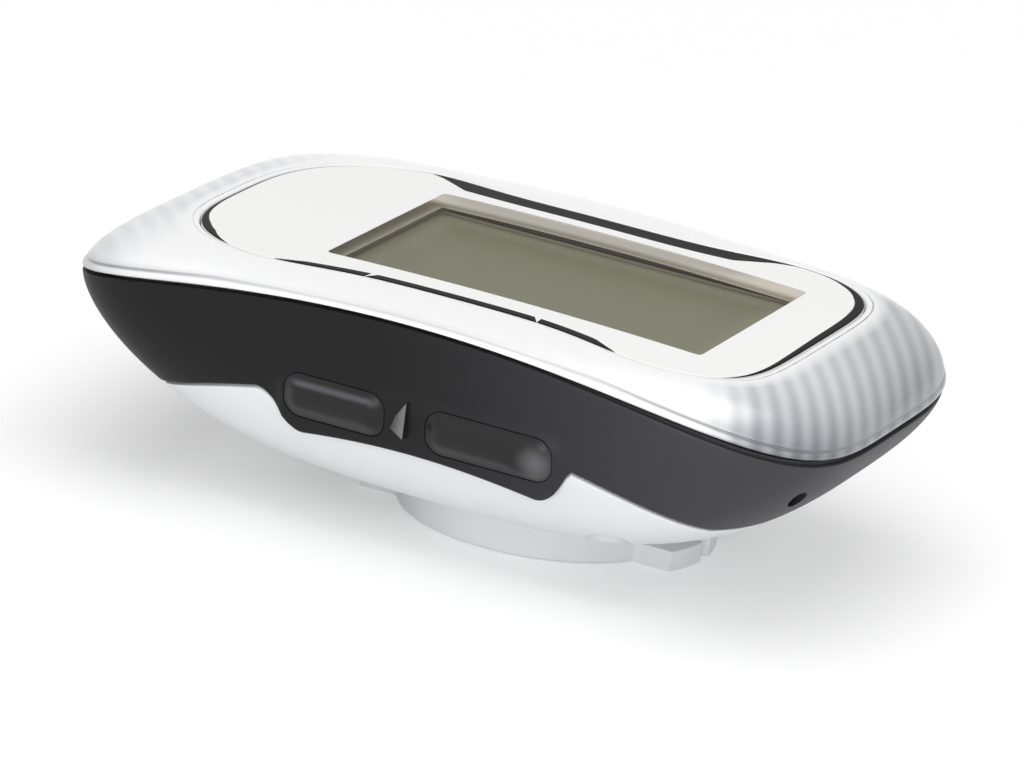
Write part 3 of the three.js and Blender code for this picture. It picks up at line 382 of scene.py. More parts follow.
# The groove and the bead above the seam, as height over the rim and how proud of the wall.
BEAD = [(1.05, 0), (0.98, -0.03), (0.9, -0.12), (0.8, -0.12), (0.74, -0.03), (0.66, 0.05), (0.52, 0.09)]
BEAD += [(0.36, 0.09), (0.23, 0.04), (0.15, -0.06), (HALF_SEAM, -0.2)]
bead_row = len(bezel_rows)
for lift, proud in BEAD:
    bezel_rows.append(rim_lift(AROUND, HALF_SEAM + (lift - HALF_SEAM) * slim, proud))

# The lip inside the band, then the underside of the top.
LIP = [(-1.7, HALF_SEAM), (-1.75, -0.1), (-1.75, -2.1), (-1.85, -2.2), (-2.7, -2.2), (-2.7, -0.4)]
bezel_rows += [lifted(rim_line(AROUND, skin), rim_level + lift) for skin, lift in LIP]
for turn in (20, 50, 75, 90):
    bezel_rows.append(rolled_top(AROUND, math.sin(math.radians(turn)), -2.7, -2.6))
front_bezel = wrapped("front_bezel_shell", bezel_rows)

# Two measures for the finish: where the weave may show, which takes in the lens seat's groove floor as a
# painted shade line, and how much painted shade goes in the groove above the bead, under the roll.
row_of = np.arange(len(front_bezel.data.vertices)) // len(AROUND)
groove_floor = (row_of == groove_row + 2) | (row_of == groove_row + 3)
weave_and_groove_shade = (groove_floor | (row_of > groove_row + 5)).astype(float)
groove_painted_shade = np.interp(row_of - bead_row, [-3, -1, 1, 2, 3, 4, 5], [0, 0.25, 0.6, 1, 1, 0.5, 0])
along_case = np.tile(np.abs(rim_line(AROUND)[:, 1]), len(bezel_rows))
groove_painted_shade = groove_painted_shade * np.interp(along_case, [10, 26], [0.5, 1])
for name, values in (("weave", weave_and_groove_shade), ("groove_painted_shade", groove_painted_shade)):
    front_bezel.data.attributes.new(name, "FLOAT", "POINT").data.foreach_set("value", values)
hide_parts("front_bezel")
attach(front_bezel, "case")


def round_window(tree, across, along, half_width, half_length):
    """1 in a rectangle round the window, and 0 outside it."""
    wide = reckon(tree, "LESS_THAN", away_from(tree, across, 0), half_width)
    long = reckon(tree, "LESS_THAN", away_from(tree, along, WINDOW_FORWARD), half_length)
    return reckon(tree, "MULTIPLY", wide, long)


# The weave: slanted stripes crossed by fine rungs, let in softly at nose and tail and darkened by painted
# shade down the roll and on the far side of the nose. A stripe's pitch is taken across the case, a rung's
# along it.
STRIPE_PITCH, STRIPE_SLANT, RUNG_PITCH = 3.3, 1.5, 0.9
pearl, tree, shader = finish("pearl lacquer", "f0f0f2", 0.36, Coat_Weight=1.0, Coat_Roughness=0.3)
across, along, up, place = case_place(tree)
slanted = reckon(tree, "MULTIPLY_ADD", along, -STRIPE_SLANT, across)
stripe = reckon(tree, "MULTIPLY", slanted, 2 * math.pi / STRIPE_PITCH)
warp = reckon(tree, "MULTIPLY_ADD", reckon(tree, "SINE", stripe), 0.5, 0.5)
down_nose = reckon(tree, "SUBTRACT", along, up)
half_stripe = reckon(tree, "MULTIPLY", stripe, 0.5)
rung_turn = reckon(tree, "MULTIPLY_ADD", down_nose, 2 * math.pi / RUNG_PITCH, half_stripe)
rungs = reckon(tree, "MULTIPLY_ADD", reckon(tree, "SINE", rung_turn), 0.5, 0.5)
woven = reckon(tree, "ADD", reckon(tree, "MULTIPLY", warp, 0.93), reckon(tree, "MULTIPLY", rungs, 0.07))
# Painted shade: the weave darker down the roll and towards the far side of the nose.
down_roll = add(tree, "MapRange", Value=up, From_Min=21.2, From_Max=16.6).outputs[0]
far_side = add(tree, "MapRange", Value=across, From_Min=8.0, From_Max=-16.0, To_Max=0.55).outputs[0]
at_front = reckon(tree, "GREATER_THAN", along, 0)
painted_shade = reckon(tree, "MULTIPLY_ADD", far_side, at_front, down_roll, clamp=True)
hollow = blend(tree, painted_shade, "b6b7bd", "5b5e67")
crest = blend(tree, painted_shade, "d4d5d9", "86888f")
strands = blend(tree, woven, hollow, crest)
to_side = reckon(tree, "MULTIPLY", reckon(tree, "ABSOLUTE", across), -0.38)
at_nose = eased(tree, reckon(tree, "ADD", along, to_side), 15.0, 21.5)
at_tail = eased(tree, reckon(tree, "SUBTRACT", to_side, along), 17.0, 28.0, 0.8)
# The weave's rows; on the lens seat's groove floor the weave colour is painted shade.
weave_rows_and_groove_shade = add(tree, "Attribute", attribute_name="weave").outputs["Fac"]
ends = reckon(tree, "MULTIPLY", reckon(tree, "ADD", at_nose, at_tail, clamp=True), weave_rows_and_groove_shade)
glint = noise(tree, place, 1.6, 3)
body = blend(tree, glint, "f3f3f4", "f9f9fa")
lacquer = blend(tree, ends, body, strands)
# Painted shade in the groove above the bead, deeper towards nose and tail.
shadowed = add(tree, "Attribute", attribute_name="groove_painted_shade").outputs["Fac"]
lacquer = blend(tree, reckon(tree, "MULTIPLY", shadowed, 0.7), lacquer, "7f8087")

# Below the lens the shelf is tinted, and the window's walls are painted dark: painted shade for the gap
# above the display.
wall_painted_shade = round_window(tree, across, along, 14.4, 19.2)
along_squared = reckon(tree, "MULTIPLY", along, along)
level_in_case = reckon(tree, "MULTIPLY_ADD", along_squared, CROWN_FALL / HALF_LENGTH**2, up)
under_lens = reckon(tree, "LESS_THAN", level_in_case, LENS_TOP - LENS_THICK)
shelf = reckon(tree, "MULTIPLY", round_window(tree, across, along, 16.4, 21.5), under_lens)
shaded = blend(tree, shelf, lacquer, "d5cfc2")
tree.links.new(blend(tree, wall_painted_shade, shaded, "4a443b"), shader.inputs["Base Color"])
metallic = reckon(tree, "ADD", reckon(tree, "MULTIPLY", ends, 0.35), 0.04)
tree.links.new(metallic, shader.inputs["Metallic"])
coat(front_bezel, pearl)


# ---------------------------------------------------------------- display lens
# A hard clear cover bonded to the bezel's shelf, printed white round the window. A fine black line
# comes and goes along its edge: two bars beside the display and an arc at each end.
def lens_disc(grow, share=1.0):
    """The lens's outline, drawn in to a share of its size about its middle."""
    return lens_line(AROUND, grow) * share + LENS_MIDDLE * (1 - share)


def laid(line, drop):
    return lifted(line, crown(line[:, 1]) - drop)


TOP_EDGE = [(-0.17, 0.06), (-0.22, 0.015), (-0.3, 0), (-0.5, 0), (-0.8, 0), (-1.2, 0), (-1.6, 0), (-2, 0)]
TOP_EDGE += [(-2.5, 0), (-3.0, 0), (-3.5, 0)]
lens_rows = [laid(lens_disc(-0.2, share), LENS_THICK) for share in (0.04, 0.3, 0.55, 0.8, 0.95)]
for grow, drop in ((-0.25, LENS_THICK), (-0.15, 1.2), (-0.15, 0.14)):
    lens_rows.append(laid(lens_disc(grow), drop))
edge_row = len(lens_rows)
lens_rows += [laid(lens_disc(grow), drop) for grow, drop in TOP_EDGE]
lens_rows += [laid(lens_disc(-3.5, share), 0) for share in (0.93, 0.82, 0.7, 0.55, 0.4, 0.25, 0.1)]
display_lens = wrapped("display_lens_plate", lens_rows, tip=(*LENS_MIDDLE, LENS_TOP - LENS_THICK),
                       foot=(*LENS_MIDDLE, LENS_TOP))
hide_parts("display_lens")
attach(display_lens, "case")

# How wide the black line is, by where it is along the edge.
edge_line = lens_line(AROUND)
ex, ey = edge_line[:, 0], edge_line[:, 1]
near_bar = np.interp(ey, [-16.6, -14.4, -8.7, -8.6, -8.2, -8.1, 7.1, 7.2, 7.6, 7.7, 13.4, 15.4],
                     [0, 1.0, 1.35, 0, 0, 1.35, 1.4, 0, 0, 1.4, 1.3, 0])
far_bar = np.interp(ey, [-20, -17.4, -16.4, -14.4, 14.2, 16.2, 17.4, 18.5],
                    [0.2, 0.25, 0.9, 2.9, 3.0, 0.9, 0.35, 0.28])
nose_arc = np.interp(ex, [-19.7, -18.6, -17.6, -15.3, -11, -1.7, 6.9, 12.5, 17.5],
                     [0.26, 0.3, 0.55, 0.8, 0.85, 0.75, 0.55, 0.34, 0])
tail_arc = np.interp(ex, [-17, -5.3, 4, 9, 12, 14, 16.8], [0.2, 0.28, 0.36, 0.5, 0.75, 0.75, 0])
line_width = np.where(ey > 18, nose_arc, np.where(ey < -20, tail_arc, np.where(ex > 0, near_bar, far_bar)))
inset = np.full(len(display_lens.data.vertices), 9.0)
width = np.zeros(len(display_lens.data.vertices))
for row in range(edge_row, len(lens_rows)):
    ring = slice(row * len(AROUND), (row + 1) * len(AROUND))
    width[ring] = line_width
    if row < edge_row + len(TOP_EDGE):
        inset[ring] = -0.15 - TOP_EDGE[row - edge_row][0]
for name, values in (("edge_inset", inset), ("line_width", width)):
    display_lens.data.attributes.new(name, "FLOAT", "POINT").data.foreach_set("value", values)


def sharp(tree, value, start, steepness):
    """A quick change from 0 to 1 that begins at a start."""
    return reckon(tree, "MULTIPLY", reckon(tree, "SUBTRACT", value, start), steepness, clamp=True)


def past_window(tree, across, along, half_width, half_length):
    """How far a point lies beyond a window's sides and beyond its ends."""
    wide = reckon(tree, "SUBTRACT", away_from(tree, across, 0.1), half_width)
    long = reckon(tree, "SUBTRACT", away_from(tree, along, WINDOW_FORWARD), half_length)
    return wide, long


lens_print, tree, shader = finish("lens print", "f6f6f4", 0.30, IOR=1.08)
across, along, _, place = case_place(tree)
wide, long = past_window(tree, across, along, 11.9, 16.7)
corner = add(tree, "CombineXYZ", X=reckon(tree, "MAXIMUM", wide, 0), Y=reckon(tree, "MAXIMUM", long, 0))
beyond = add(tree, "VectorMath", operation="LENGTH", _0=corner.outputs[0]).outputs["Value"]
printed = sharp(tree, beyond, 0.48, 30)
line_inset = add(tree, "Attribute", attribute_name="edge_inset").outputs["Fac"]
line_reach = add(tree, "Attribute", attribute_name="line_width").outputs["Fac"]
inked = sharp(tree, reckon(tree, "SUBTRACT", line_reach, line_inset), 0.02, 14)
mottle = noise(tree, place, 0.06)
white_ink = blend(tree, mottle, "fafaf9", "fefefd")
tree.links.new(blend(tree, inked, white_ink, "0a0a0a"), shader.inputs["Base Color"])
tree.links.new(reckon(tree, "MULTIPLY_ADD", printed, 0.97, 0.03), shader.inputs["Alpha"])

# The underside of the print, which shows in the window's walls. Its glow is painted light that stands in
# for light soaking through the print: bright beside the display's sides, dark at its ends.
print_back, tree, shader = finish("lens print from below", "d8d2c5", 0.6, IOR=1.08, Emission_Strength=0.5)
across, along, _, place = case_place(tree)
wide, long = past_window(tree, across, along, 12.4, 17.2)
cloud = noise(tree, place, 0.4)
tree.links.new(blend(tree, cloud, "c9c3b6", "bfb9ac"), shader.inputs["Base Color"])
painted_glow = blend(tree, eased(tree, wide, 0.5, 2.3), "2f2b25", "dbd7cf")
tree.links.new(painted_glow, shader.inputs["Emission Color"])
outside = reckon(tree, "GREATER_THAN", reckon(tree, "MAXIMUM", wide, long), 0)
tree.links.new(reckon(tree, "MULTIPLY_ADD", outside, 0.98, 0.02), shader.inputs["Alpha"])
display_lens.data.materials.append(lens_print)
display_lens.data.materials.append(print_back)
for face in display_lens.data.polygons:
    face.material_index = 1 if face.normal.z < -0.5 else 0


# ---------------------------------------------------------------- display
# A reflective segment glass, olive grey when blank, in its pale frame line. It lies two
# millimetres below the print, so its far and rear sides are in shadow.
display, tree, shader = finish("display glass", "6f6e56", 0.5, Specular_IOR_Level=0.25)
across, along, _, place = case_place(tree)
from_side = reckon(tree, "SUBTRACT", 13.7, away_from(tree, across, 0))
from_end = reckon(tree, "SUBTRACT", 18.5, away_from(tree, along, WINDOW_FORWARD))
margin = reckon(tree, "MINIMUM", from_side, from_end)
pale_line = add(tree, "ValToRGB", Fac=reckon(tree, "DIVIDE", margin, 2.0))
steps = pale_line.color_ramp.elements
steps[0].position, steps[1].position = 0.10, 0.95
steps[0].color, steps[1].color = swatch("3c3830"), swatch("706f57")
for position, code in ((0.13, "c9c2a8"), (0.42, "c9c2a8"), (0.5, "7d7b64"), (0.56, "706f57")):
    steps.new(position).color = swatch(code)
drift = noise(tree, place, 0.05, 1)
olive = blend(tree, drift, "6a6950", "73725a")
# Painted reflection: the olive made lighter towards the glass's edges.
olive = blend(tree, eased(tree, margin, 5.0, 1.6, 0.6), olive, "8d8c78")
inside = sharp(tree, margin, 1.1, 4)
tree.links.new(blend(tree, inside, pale_line.outputs[0], olive), shader.inputs["Base Color"])
coat(nodes["display_panel"], display)


# ---------------------------------------------------------------- side band
# The dark ring between bezel and cover, moulded in satin plastic that is soft to the touch. A low pod on
# each side has the openings for two buttons, there is an air hole in one nose corner, and the tail has a
# pocket for the charging port.
POD = (-12.6, 14.4, 2.0, 15.4)
POD_PROUD = 0.4


def smooth_step(value, low, high):
    share = np.clip((value - low) / (high - low), 0, 1)
    return share * share * (3 - 2 * share)


def cover_edge(y):
    """The height of the seam between band and cover: an arch that steps down round the pod."""
    arch = RIM_CREST - np.minimum(7.3 + 9.52 * (y / HALF_LENGTH) ** 2, 12.5)
    down = smooth_step(y, -14.4, -9.6)
    rise = np.clip((y - 14.4) / 3.2 + 1, 0, 1)
    return arch - 3.85 * down * (1 - rise * rise)


def edge_depth(share, offset, skin=0.0):
    """The depth at which the side wall meets the cover's edge, which depends on where the wall is."""
    y = rim_line(share)[..., 1]
    for _ in range(12):
        depth = depth_at(share, cover_edge(y) + offset, skin)
        y = 0.5 * y + 0.5 * side_wall(share, depth, skin)[..., 1]
    return depth


def from_rectangle(y, z, box, radius):
    """Distance outside a round-cornered rectangle; negative inside it."""
    low_y, high_y, low_z, high_z = box
    out_y = np.maximum(low_y + radius - y, y - high_y + radius)
    out_z = np.maximum(low_z + radius - z, z - high_z + radius)
    corner = np.hypot(np.maximum(out_y, 0), np.maximum(out_z, 0))
    return corner + np.minimum(np.maximum(out_y, out_z), 0) - radius


def pod_skin(points):
    """How proud the pod stands at each point."""
    outside = from_rectangle(points[:, 1], points[:, 2], POD, 2.6)
    return POD_PROUD * smooth_step(-outside, 0.0, 1.3)


rim_depth = depth_at(AROUND, rim_level - HALF_SEAM)
low_depth = edge_depth(AROUND, HALF_SEAM)
reveal = 0.04 + 0.28 * smooth_step(rim_line(AROUND)[:, 1], 8, 30)
band_rows = []
for share, drop, proud in ((0, 0, -0.5), (1, 0, -0.5), (1, 0, -0.1), (1, 0.03, -0.03), (1, 0.09, 0.0)):
    depth = depth_at(AROUND, rim_level - HALF_SEAM - reveal * share - drop)
    band_rows.append(side_wall(AROUND, depth, proud))
wall_rows = [(share, 0.0) for share in np.linspace(0.075, 0.985, 44)] + [(0.995, 0.04), (1.0, 0.13)]
for share, sink in wall_rows:
    depth = rim_depth + (low_depth - rim_depth) * share
    band_rows.append(side_wall(AROUND, depth, pod_skin(side_wall(AROUND, depth)) - sink))
inner_low = edge_depth(AROUND, HALF_SEAM, -WALL)
inner_rim = depth_at(AROUND, rim_level - HALF_SEAM, -WALL)
for share in (1.0, 0.8, 0.6, 0.4, 0.2, 0.0):
    band_rows.append(side_wall(AROUND, inner_rim + (inner_low - inner_rim) * share, -WALL))
side_band = wrapped("side_band_ring", band_rows)
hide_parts("side_band")
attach(side_band, "case")


def on_wall(start, axis, known, heights, skins):
    """The missing measure of points on half the wall, from the one that is known along an axis."""
    shares = np.linspace(start, start + 0.5, 500)
    found = []
    for value, height, skin in zip(known, heights, np.broadcast_to(skins, np.shape(known))):
        ring = side_wall(shares, depth_at(shares, height, skin), skin)
        found.append(np.interp(value, ring[:, axis], ring[:, 1 - axis]))
    return np.array(found)


def on_side(y, z, skin):
    """The X of the right side wall at each (y, z), a skin's thickness out from its face."""
    return on_wall(-0.25, 1, y, z, skin)


def round_rectangle(box, radius, steps=12, straight=24):
    """Evenly stepped points round a rectangle with round corners."""
    low_y, high_y, low_z, high_z = box
    radius = min(radius, (high_z - low_z) / 2 - 1e-3, (high_y - low_y) / 2 - 1e-3)
    centres = [(high_y - radius, high_z - radius), (low_y + radius, high_z - radius)]
    centres += [(low_y + radius, low_z + radius), (high_y - radius, low_z + radius)]
    line = []
    for quarter, (cy, cz) in enumerate(centres):
        for step in np.linspace(0, 1, steps + 1):
            angle = (quarter + step) * math.pi / 2
            line.append((cy + radius * math.cos(angle), cz + radius * math.sin(angle)))
        after = centres[(quarter + 1) % 4]
        turn = (quarter + 1) * math.pi / 2
        start = np.array(line[-1])
        end = np.array([after[0] + radius * math.cos(turn), after[1] + radius * math.sin(turn)])
        count = straight if quarter % 2 == 0 else 6
        line += [tuple(start + (end - start) * share) for share in np.linspace(0, 1, count + 2)[1:-1]]
    return np.array(line)


def grown(box, grow):
    return (box[0] - grow, box[1] + grow, box[2] - grow, box[3] + grow)


def badge(name, box, radius, profile, face=None):
    """A plug in the right wall: rings of a round rectangle, grown and proud as the profile says.

    A face adds its own height at each point, from how far the ring lies inside the outline.
    """
    rings = []
    for grow, proud in profile:
        line = round_rectangle(grown(box, grow), max(radius + grow, 0.25))
        skin = proud if face is None else proud + face(line[:, 0], line[:, 1], -grow)
        rings.append(np.stack([on_side(line[:, 0], line[:, 1], skin), line[:, 0], line[:, 1]], -1))
    return wrapped(name, rings, filled_ends=True)


def mirrored(piece, name):
    """A copy on the other side of the case, with a mesh of its own."""
    twin = piece.copy()
    twin.data = piece.data.copy()
    twin.name = name
    bpy.context.scene.collection.objects.link(twin)
    twin.data.transform(Matrix.Scale(-1, 4, (1, 0, 0)))
    twin.data.flip_normals()
    return twin


def worked(piece, kind, **settings):
    """One modifier, applied at once."""
    step = piece.modifiers.new(kind.lower(), kind)
    for name, value in settings.items():
        setattr(step, name, value)
    pick(piece)
    bpy.ops.object.modifier_apply(modifier=step.name)
    piece.select_set(False)


def boolean(piece, other, operation):
    """The other piece joined on or cut away, and used up."""
    worked(piece, "BOOLEAN", operation=operation, object=other, solver="MANIFOLD")
    bpy.data.objects.remove(other)


BUTTONS = {"rear": (-11.4, -2.2, 10.5, 14.5), "front": (1.6, 13.0, 10.5, 14.5)}
BUTTON_CORNER = 1.5
for box in BUTTONS.values():
    cutter = badge("cutter", box, BUTTON_CORNER, [(0.05, -3.5), (0.05, -0.05), (0.07, 0.0), (0.35, 0.4)],
                   lambda y, z, inward: np.full(len(y), POD_PROUD))
    boolean(side_band, mirrored(cutter, "left cutter"), "DIFFERENCE")
    boolean(side_band, cutter, "DIFFERENCE")


def drill(name, radius, mouth, place, towards, length):
    """A round cutter that runs back from its place, with a mouth that flares on in front of it."""
    bpy.ops.mesh.primitive_cylinder_add(vertices=48, radius=radius * MM, depth=length * MM)
    cutter = bpy.context.object
    cutter.name = name
    bpy.ops.object.mode_set(mode="EDIT")
    edit = bmesh.from_edit_mesh(cutter.data)
    for face in edit.faces:
        face.select = face.normal.z > 0.9
    bmesh.update_edit_mesh(cutter.data)
    bpy.ops.mesh.extrude_region_move(TRANSFORM_OT_translate={"value": (0, 0, mouth * MM)})
    bpy.ops.transform.resize(value=((radius + mouth) / radius, (radius + mouth) / radius, 1))
    bpy.ops.object.mode_set(mode="OBJECT")
    turn = Vector(towards).to_track_quat("Z", "Y").to_matrix().to_4x4()
    centre = (Vector(place) - Vector((0, BOSS_FORWARD, 0))) * MM
    cutter.data.transform(Matrix.Translation(centre) @ turn @ Matrix.Translation((0, 0, -length / 2 * MM)))
    return cutter


# The air hole looks out level through the nose's right corner, at its own angle to the side.
HOLE_ANGLE, HOLE_RADIUS, HOLE_HEIGHT = 0.9, 0.9, 12.1
hole_way = Vector((math.cos(HOLE_ANGLE), math.sin(HOLE_ANGLE), 0))
hole_mouth = Vector((0, 14, HOLE_HEIGHT)) + hole_way * 23.55
boolean(side_band, drill("air hole", HOLE_RADIUS, 0.8, hole_mouth, hole_way, 9), "DIFFERENCE")


def on_tail(x, z, skin):
    """The Y of the tail wall at each (x, z), a skin's thickness out from its face."""
    return on_wall(0.5, 0, x, z, skin)


def tail_badge(name, box, radius, profile):
    """A plug in the tail wall, ring by ring. A ring more than 5 deep lies level at that Y."""
    rings = []
    for grow, proud in profile:
        line = round_rectangle(grown(box, grow), max(radius + grow, 0.25))
        y = on_tail(line[:, 0], line[:, 1], proud) if proud > -5 else np.full(len(line), proud)
        rings.append(np.stack([line[:, 0], y, line[:, 1]], -1))
    return wrapped(name, rings, filled_ends=True)


CAP = (-6.5, 6.5, 9.876, 15.276)
CAP_CORNER = 1.4
POCKET_PROFILE = [(0.22, -0.75), (0.22, -0.15), (0.27, -0.03), (0.6, 0.35), (0.8, 1)]
SOCKET_HOLE = (-4.3, 4.3, 10.376, 13.976)
boolean(side_band, tail_badge("cap pocket", CAP, CAP_CORNER, POCKET_PROFILE), "DIFFERENCE")
boolean(side_band, tail_badge("socket hole", SOCKET_HOLE, 0.7, [(0, -20.1), (0, 2.0)]), "DIFFERENCE")
finished(side_band, 34)


def effect(name, inputs, outputs):
    """A node group for a look that several finishes share."""
    group = bpy.data.node_groups.new(name, "ShaderNodeTree")
    for socket, kind, value in inputs:
        made = group.interface.new_socket(name=socket, in_out="INPUT", socket_type=kind)
        made.default_value = value
    for socket, kind in outputs:
        group.interface.new_socket(name=socket, in_out="OUTPUT", socket_type=kind)
    return group, group.nodes.new("NodeGroupInput").outputs, group.nodes.new("NodeGroupOutput").inputs


# The grain of a spark-eroded mould: a fine pebble, with a slow drift where the part has been handled.
mould_grain, given, gives = effect(
    "mould grain",
    [("Pebbles per mm", "NodeSocketFloat", 5.0), ("Drift per mm", "NodeSocketFloat", 0.12)],
    [("Height", "NodeSocketFloat"), ("Handling", "NodeSocketFloat")],
)
place = case_place(mould_grain)[-1]
pebble = add(mould_grain, "TexNoise", Vector=place, Scale=given["Pebbles per mm"], Detail=2, Roughness=0.6)
drift = noise(mould_grain, place, given["Drift per mm"], 3)
mould_grain.links.new(pebble.outputs["Fac"], gives["Height"])
mould_grain.links.new(drift, gives["Handling"])


def moulded(name, light, dark, gloss, pebbles, depth, **sockets):
    """A moulded plastic or rubber: two close shades that drift, a gloss range and a grain."""
    paint, tree, shader = finish(name, dark, gloss[0], **sockets)
    grain = tree.nodes.new("ShaderNodeGroup")
    grain.node_tree = mould_grain
    grain.inputs["Pebbles per mm"].default_value = pebbles
    tree.links.new(blend(tree, grain.outputs["Handling"], dark, light), shader.inputs["Base Color"])
    spread = reckon(tree, "MULTIPLY_ADD", grain.outputs["Handling"], gloss[1] - gloss[0], gloss[0])
    tree.links.new(spread, shader.inputs["Roughness"])
    bumped(tree, shader, grain.outputs["Height"], depth)
    return paint


def over(paint):
    """A moulded finish's own colour, to work over it, with its tree and shader."""
    shader = paint.node_tree.nodes["Principled BSDF"]
    return paint.node_tree, shader, shader.inputs["Base Color"].links[0].from_socket


# Paler towards the nose, a painted reflection of the bright surroundings.
charcoal = moulded("charcoal soft plastic", "1b1a1c", "131213", (0.42, 0.54), 6.0, 0.010,
                   Specular_IOR_Level=0.2)
tree, shader, new_plastic = over(charcoal)
along = case_place(tree)[1]
painted_reflection_to_nose = eased(tree, along, -6.0, 36.0)
tree.links.new(blend(tree, painted_reflection_to_nose, new_plastic, "454448"), shader.inputs["Base Color"])
coat(side_band, charcoal)


# ---------------------------------------------------------------- finger wedges
# A small wedge stands between the buttons of each pod, moulded on the band, so that a fingertip can
# tell them apart. Its ramp faces the tail and its steep side the nose; the ramp carries a painted
# highlight.
WEDGE = [(-1.95, 11.9, 0.25), (-0.1, 14.6, 0.7), (-0.1, 11.3, 1.15), (0.1, 14.6, 0.0), (0.1, 11.3, 0.0)]
WEDGE += [(-1.95, 11.9, -0.5), (0.1, 14.6, -0.5), (0.1, 11.3, -0.5)]
wedge_y, wedge_z, wedge_proud = np.array(WEDGE).T
wedge_points = np.stack([on_side(wedge_y, wedge_z, wedge_proud), wedge_y, wedge_z], -1)
wedge = made_of("finger_wedge_right", wedge_points, [], [])
pick(wedge)
bpy.ops.object.mode_set(mode="EDIT")
bpy.ops.mesh.select_all(action="SELECT")
bpy.ops.mesh.convex_hull()
bpy.ops.object.mode_set(mode="OBJECT")
worked(wedge, "BEVEL", width=0.18 * MM, segments=3)
finished(wedge, 24)
highlit, tree, shader = finish("rubbed charcoal", "1a191a", 0.42, Specular_IOR_Level=0.5)
_, along, _, place = case_place(tree)
facing = add(tree, "SeparateXYZ", Vector=add(tree, "NewGeometry").outputs["Normal"]).outputs["Y"]
ramp_side = sharp(tree, reckon(tree, "MULTIPLY", facing, -1), 0.1, 8)
highlight_mottle = noise(tree, place, 2.2, 3)
pale = blend(tree, highlight_mottle, "737178", "88868c")
# Painted highlight: pale on the faces that turn to the tail, up to the ridge.
painted_highlight = reckon(tree, "MULTIPLY", eased(tree, along, -2.1, 0.0), ramp_side)
tree.links.new(blend(tree, painted_highlight, "1a191a", pale), shader.inputs["Base Color"])
coat(wedge, highlit)
for piece in (wedge, mirrored(wedge, "finger_wedge_left")):
    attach(piece, "case")


# ---------------------------------------------------------------- side buttons
# Four caps of soft charcoal rubber over a harder core, pushed straight in. Each front one has a
# dimple for the fingertip at its nose end, and a flange behind the band keeps every cap in.
FLANGE = [(0.35, -2.68), (0.35, -1.85), (0.3, -1.8), (0.0, -1.78)]
BUTTON_PROFILE = FLANGE + [(0.0, 0.1), (0.0, 0.33), (-0.02, 0.37)]
for share in np.linspace(0.06, 1, 14):
    swell = 0.5 - 0.5 * math.cos(math.pi * share**0.8)
    BUTTON_PROFILE.append((-0.02 - 1.35 * share, 0.38 + 0.56 * swell))
BUTTON_PROFILE += [(-1.37 - step, 0.94) for step in (0.12, 0.24, 0.36, 0.48, 0.6295)]


def crowned(y, z, inward):
    return 0.08 * smooth_step(inward, 0.8, 2.0)


def fingertip(y, z, inward):
    away = np.hypot(y - 11.1, z - 12.5)
    dimple = 0.5 * (1 - np.clip(away / 2.1, 0, 1) ** 2) ** 2
    return crowned(y, z, inward) - dimple * smooth_step(inward, 0.3, 1.2)


# Painted highlights, pale in the front button's dimple and along the rear button's upper edge.
charcoal_rubber = moulded("charcoal button rubber", "1e1e20", "161617", (0.32, 0.42), 9.0, 0.006,
                          Specular_IOR_Level=0.3)
tree, shader, new_rubber = over(charcoal_rubber)
_, along, up, _ = case_place(tree)
from_dimple = add(tree, "CombineXYZ", Y=reckon(tree, "SUBTRACT", along, 11.7),
                  Z=reckon(tree, "SUBTRACT", up, 12.2))
from_tip = add(tree, "VectorMath", operation="LENGTH", _0=from_dimple.outputs[0]).outputs["Value"]
tip_highlight = eased(tree, from_tip, 2.2, 0.0, 0.75)
edge_highlight = eased(tree, away_from(tree, up, 13.75), 0.42, 0.0, 0.5)
rear_only = eased(tree, away_from(tree, along, -6.9), 4.2, 3.0)
button_highlights = reckon(tree, "MAXIMUM", tip_highlight, reckon(tree, "MULTIPLY", edge_highlight, rear_only))
tree.links.new(blend(tree, button_highlights, new_rubber, "737177"), shader.inputs["Base Color"])
for place, face in (("rear", crowned), ("front", fingertip)):
    right = badge(f"button_cap_right_{place}", BUTTONS[place], BUTTON_CORNER, BUTTON_PROFILE, face)
    finished(right, 40)
    coat(right, charcoal_rubber)
    left = mirrored(right, f"button_cap_left_{place}")
    for hand, button in (("right", right), ("left", left)):
        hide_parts(f"button_{hand}_{place}")
        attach(button, f"key_{hand}_{place}")


# ---------------------------------------------------------------- back cover
# The belly of the case, moulded in satin white, with the quarter-turn boss that locks into a mount
# on the bars. Four screws go up through it, in deep round recesses.
top_depth = edge_depth(AROUND, -HALF_SEAM)
fullness = wall_fullness(rim_line(AROUND))
top_turn = np.arcsin(np.clip(top_depth, 0, 1) ** (fullness / 2))


def cover_ring(share, skin):
    """A ring from the cover's edge, at 0, to the belly's flat, at 1."""
    turn = top_turn + (math.pi / 2 - top_turn) * share
    return side_wall(AROUND, np.sin(turn) ** (2 / fullness), skin)


def belly_disc(share, height, skin=0.0):
    """A level ring: the belly's outline, drawn in to a share of its size."""
    return lifted(BELLY_MIDDLE + (belly_line(AROUND, skin) - BELLY_MIDDLE) * share, height)


cover_rows = [belly_disc(share, BELLY) for share in (0.2, 0.6, 0.93)]
cover_rows += [cover_ring(share, 0.0) for share in np.linspace(1, 0.02, 26)]
cover_rows += [cover_ring(share, sink) for share, sink in ((0.008, -0.03), (0.002, -0.08), (0.0, -0.15))]
cover_rows += [cover_ring(share, -WALL) for share in (0.0, 0.02, 0.15, 0.3, 0.45, 0.6, 0.75, 0.9, 1.0)]
cover_rows += [belly_disc(share, BELLY + WALL, -WALL) for share in (0.7, 0.2)]
back_cover = wrapped("back_cover_shell", cover_rows, tip=(*BELLY_MIDDLE, BELLY),
                     foot=(*BELLY_MIDDLE, BELLY + WALL))
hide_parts("back_cover")
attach(back_cover, "case")

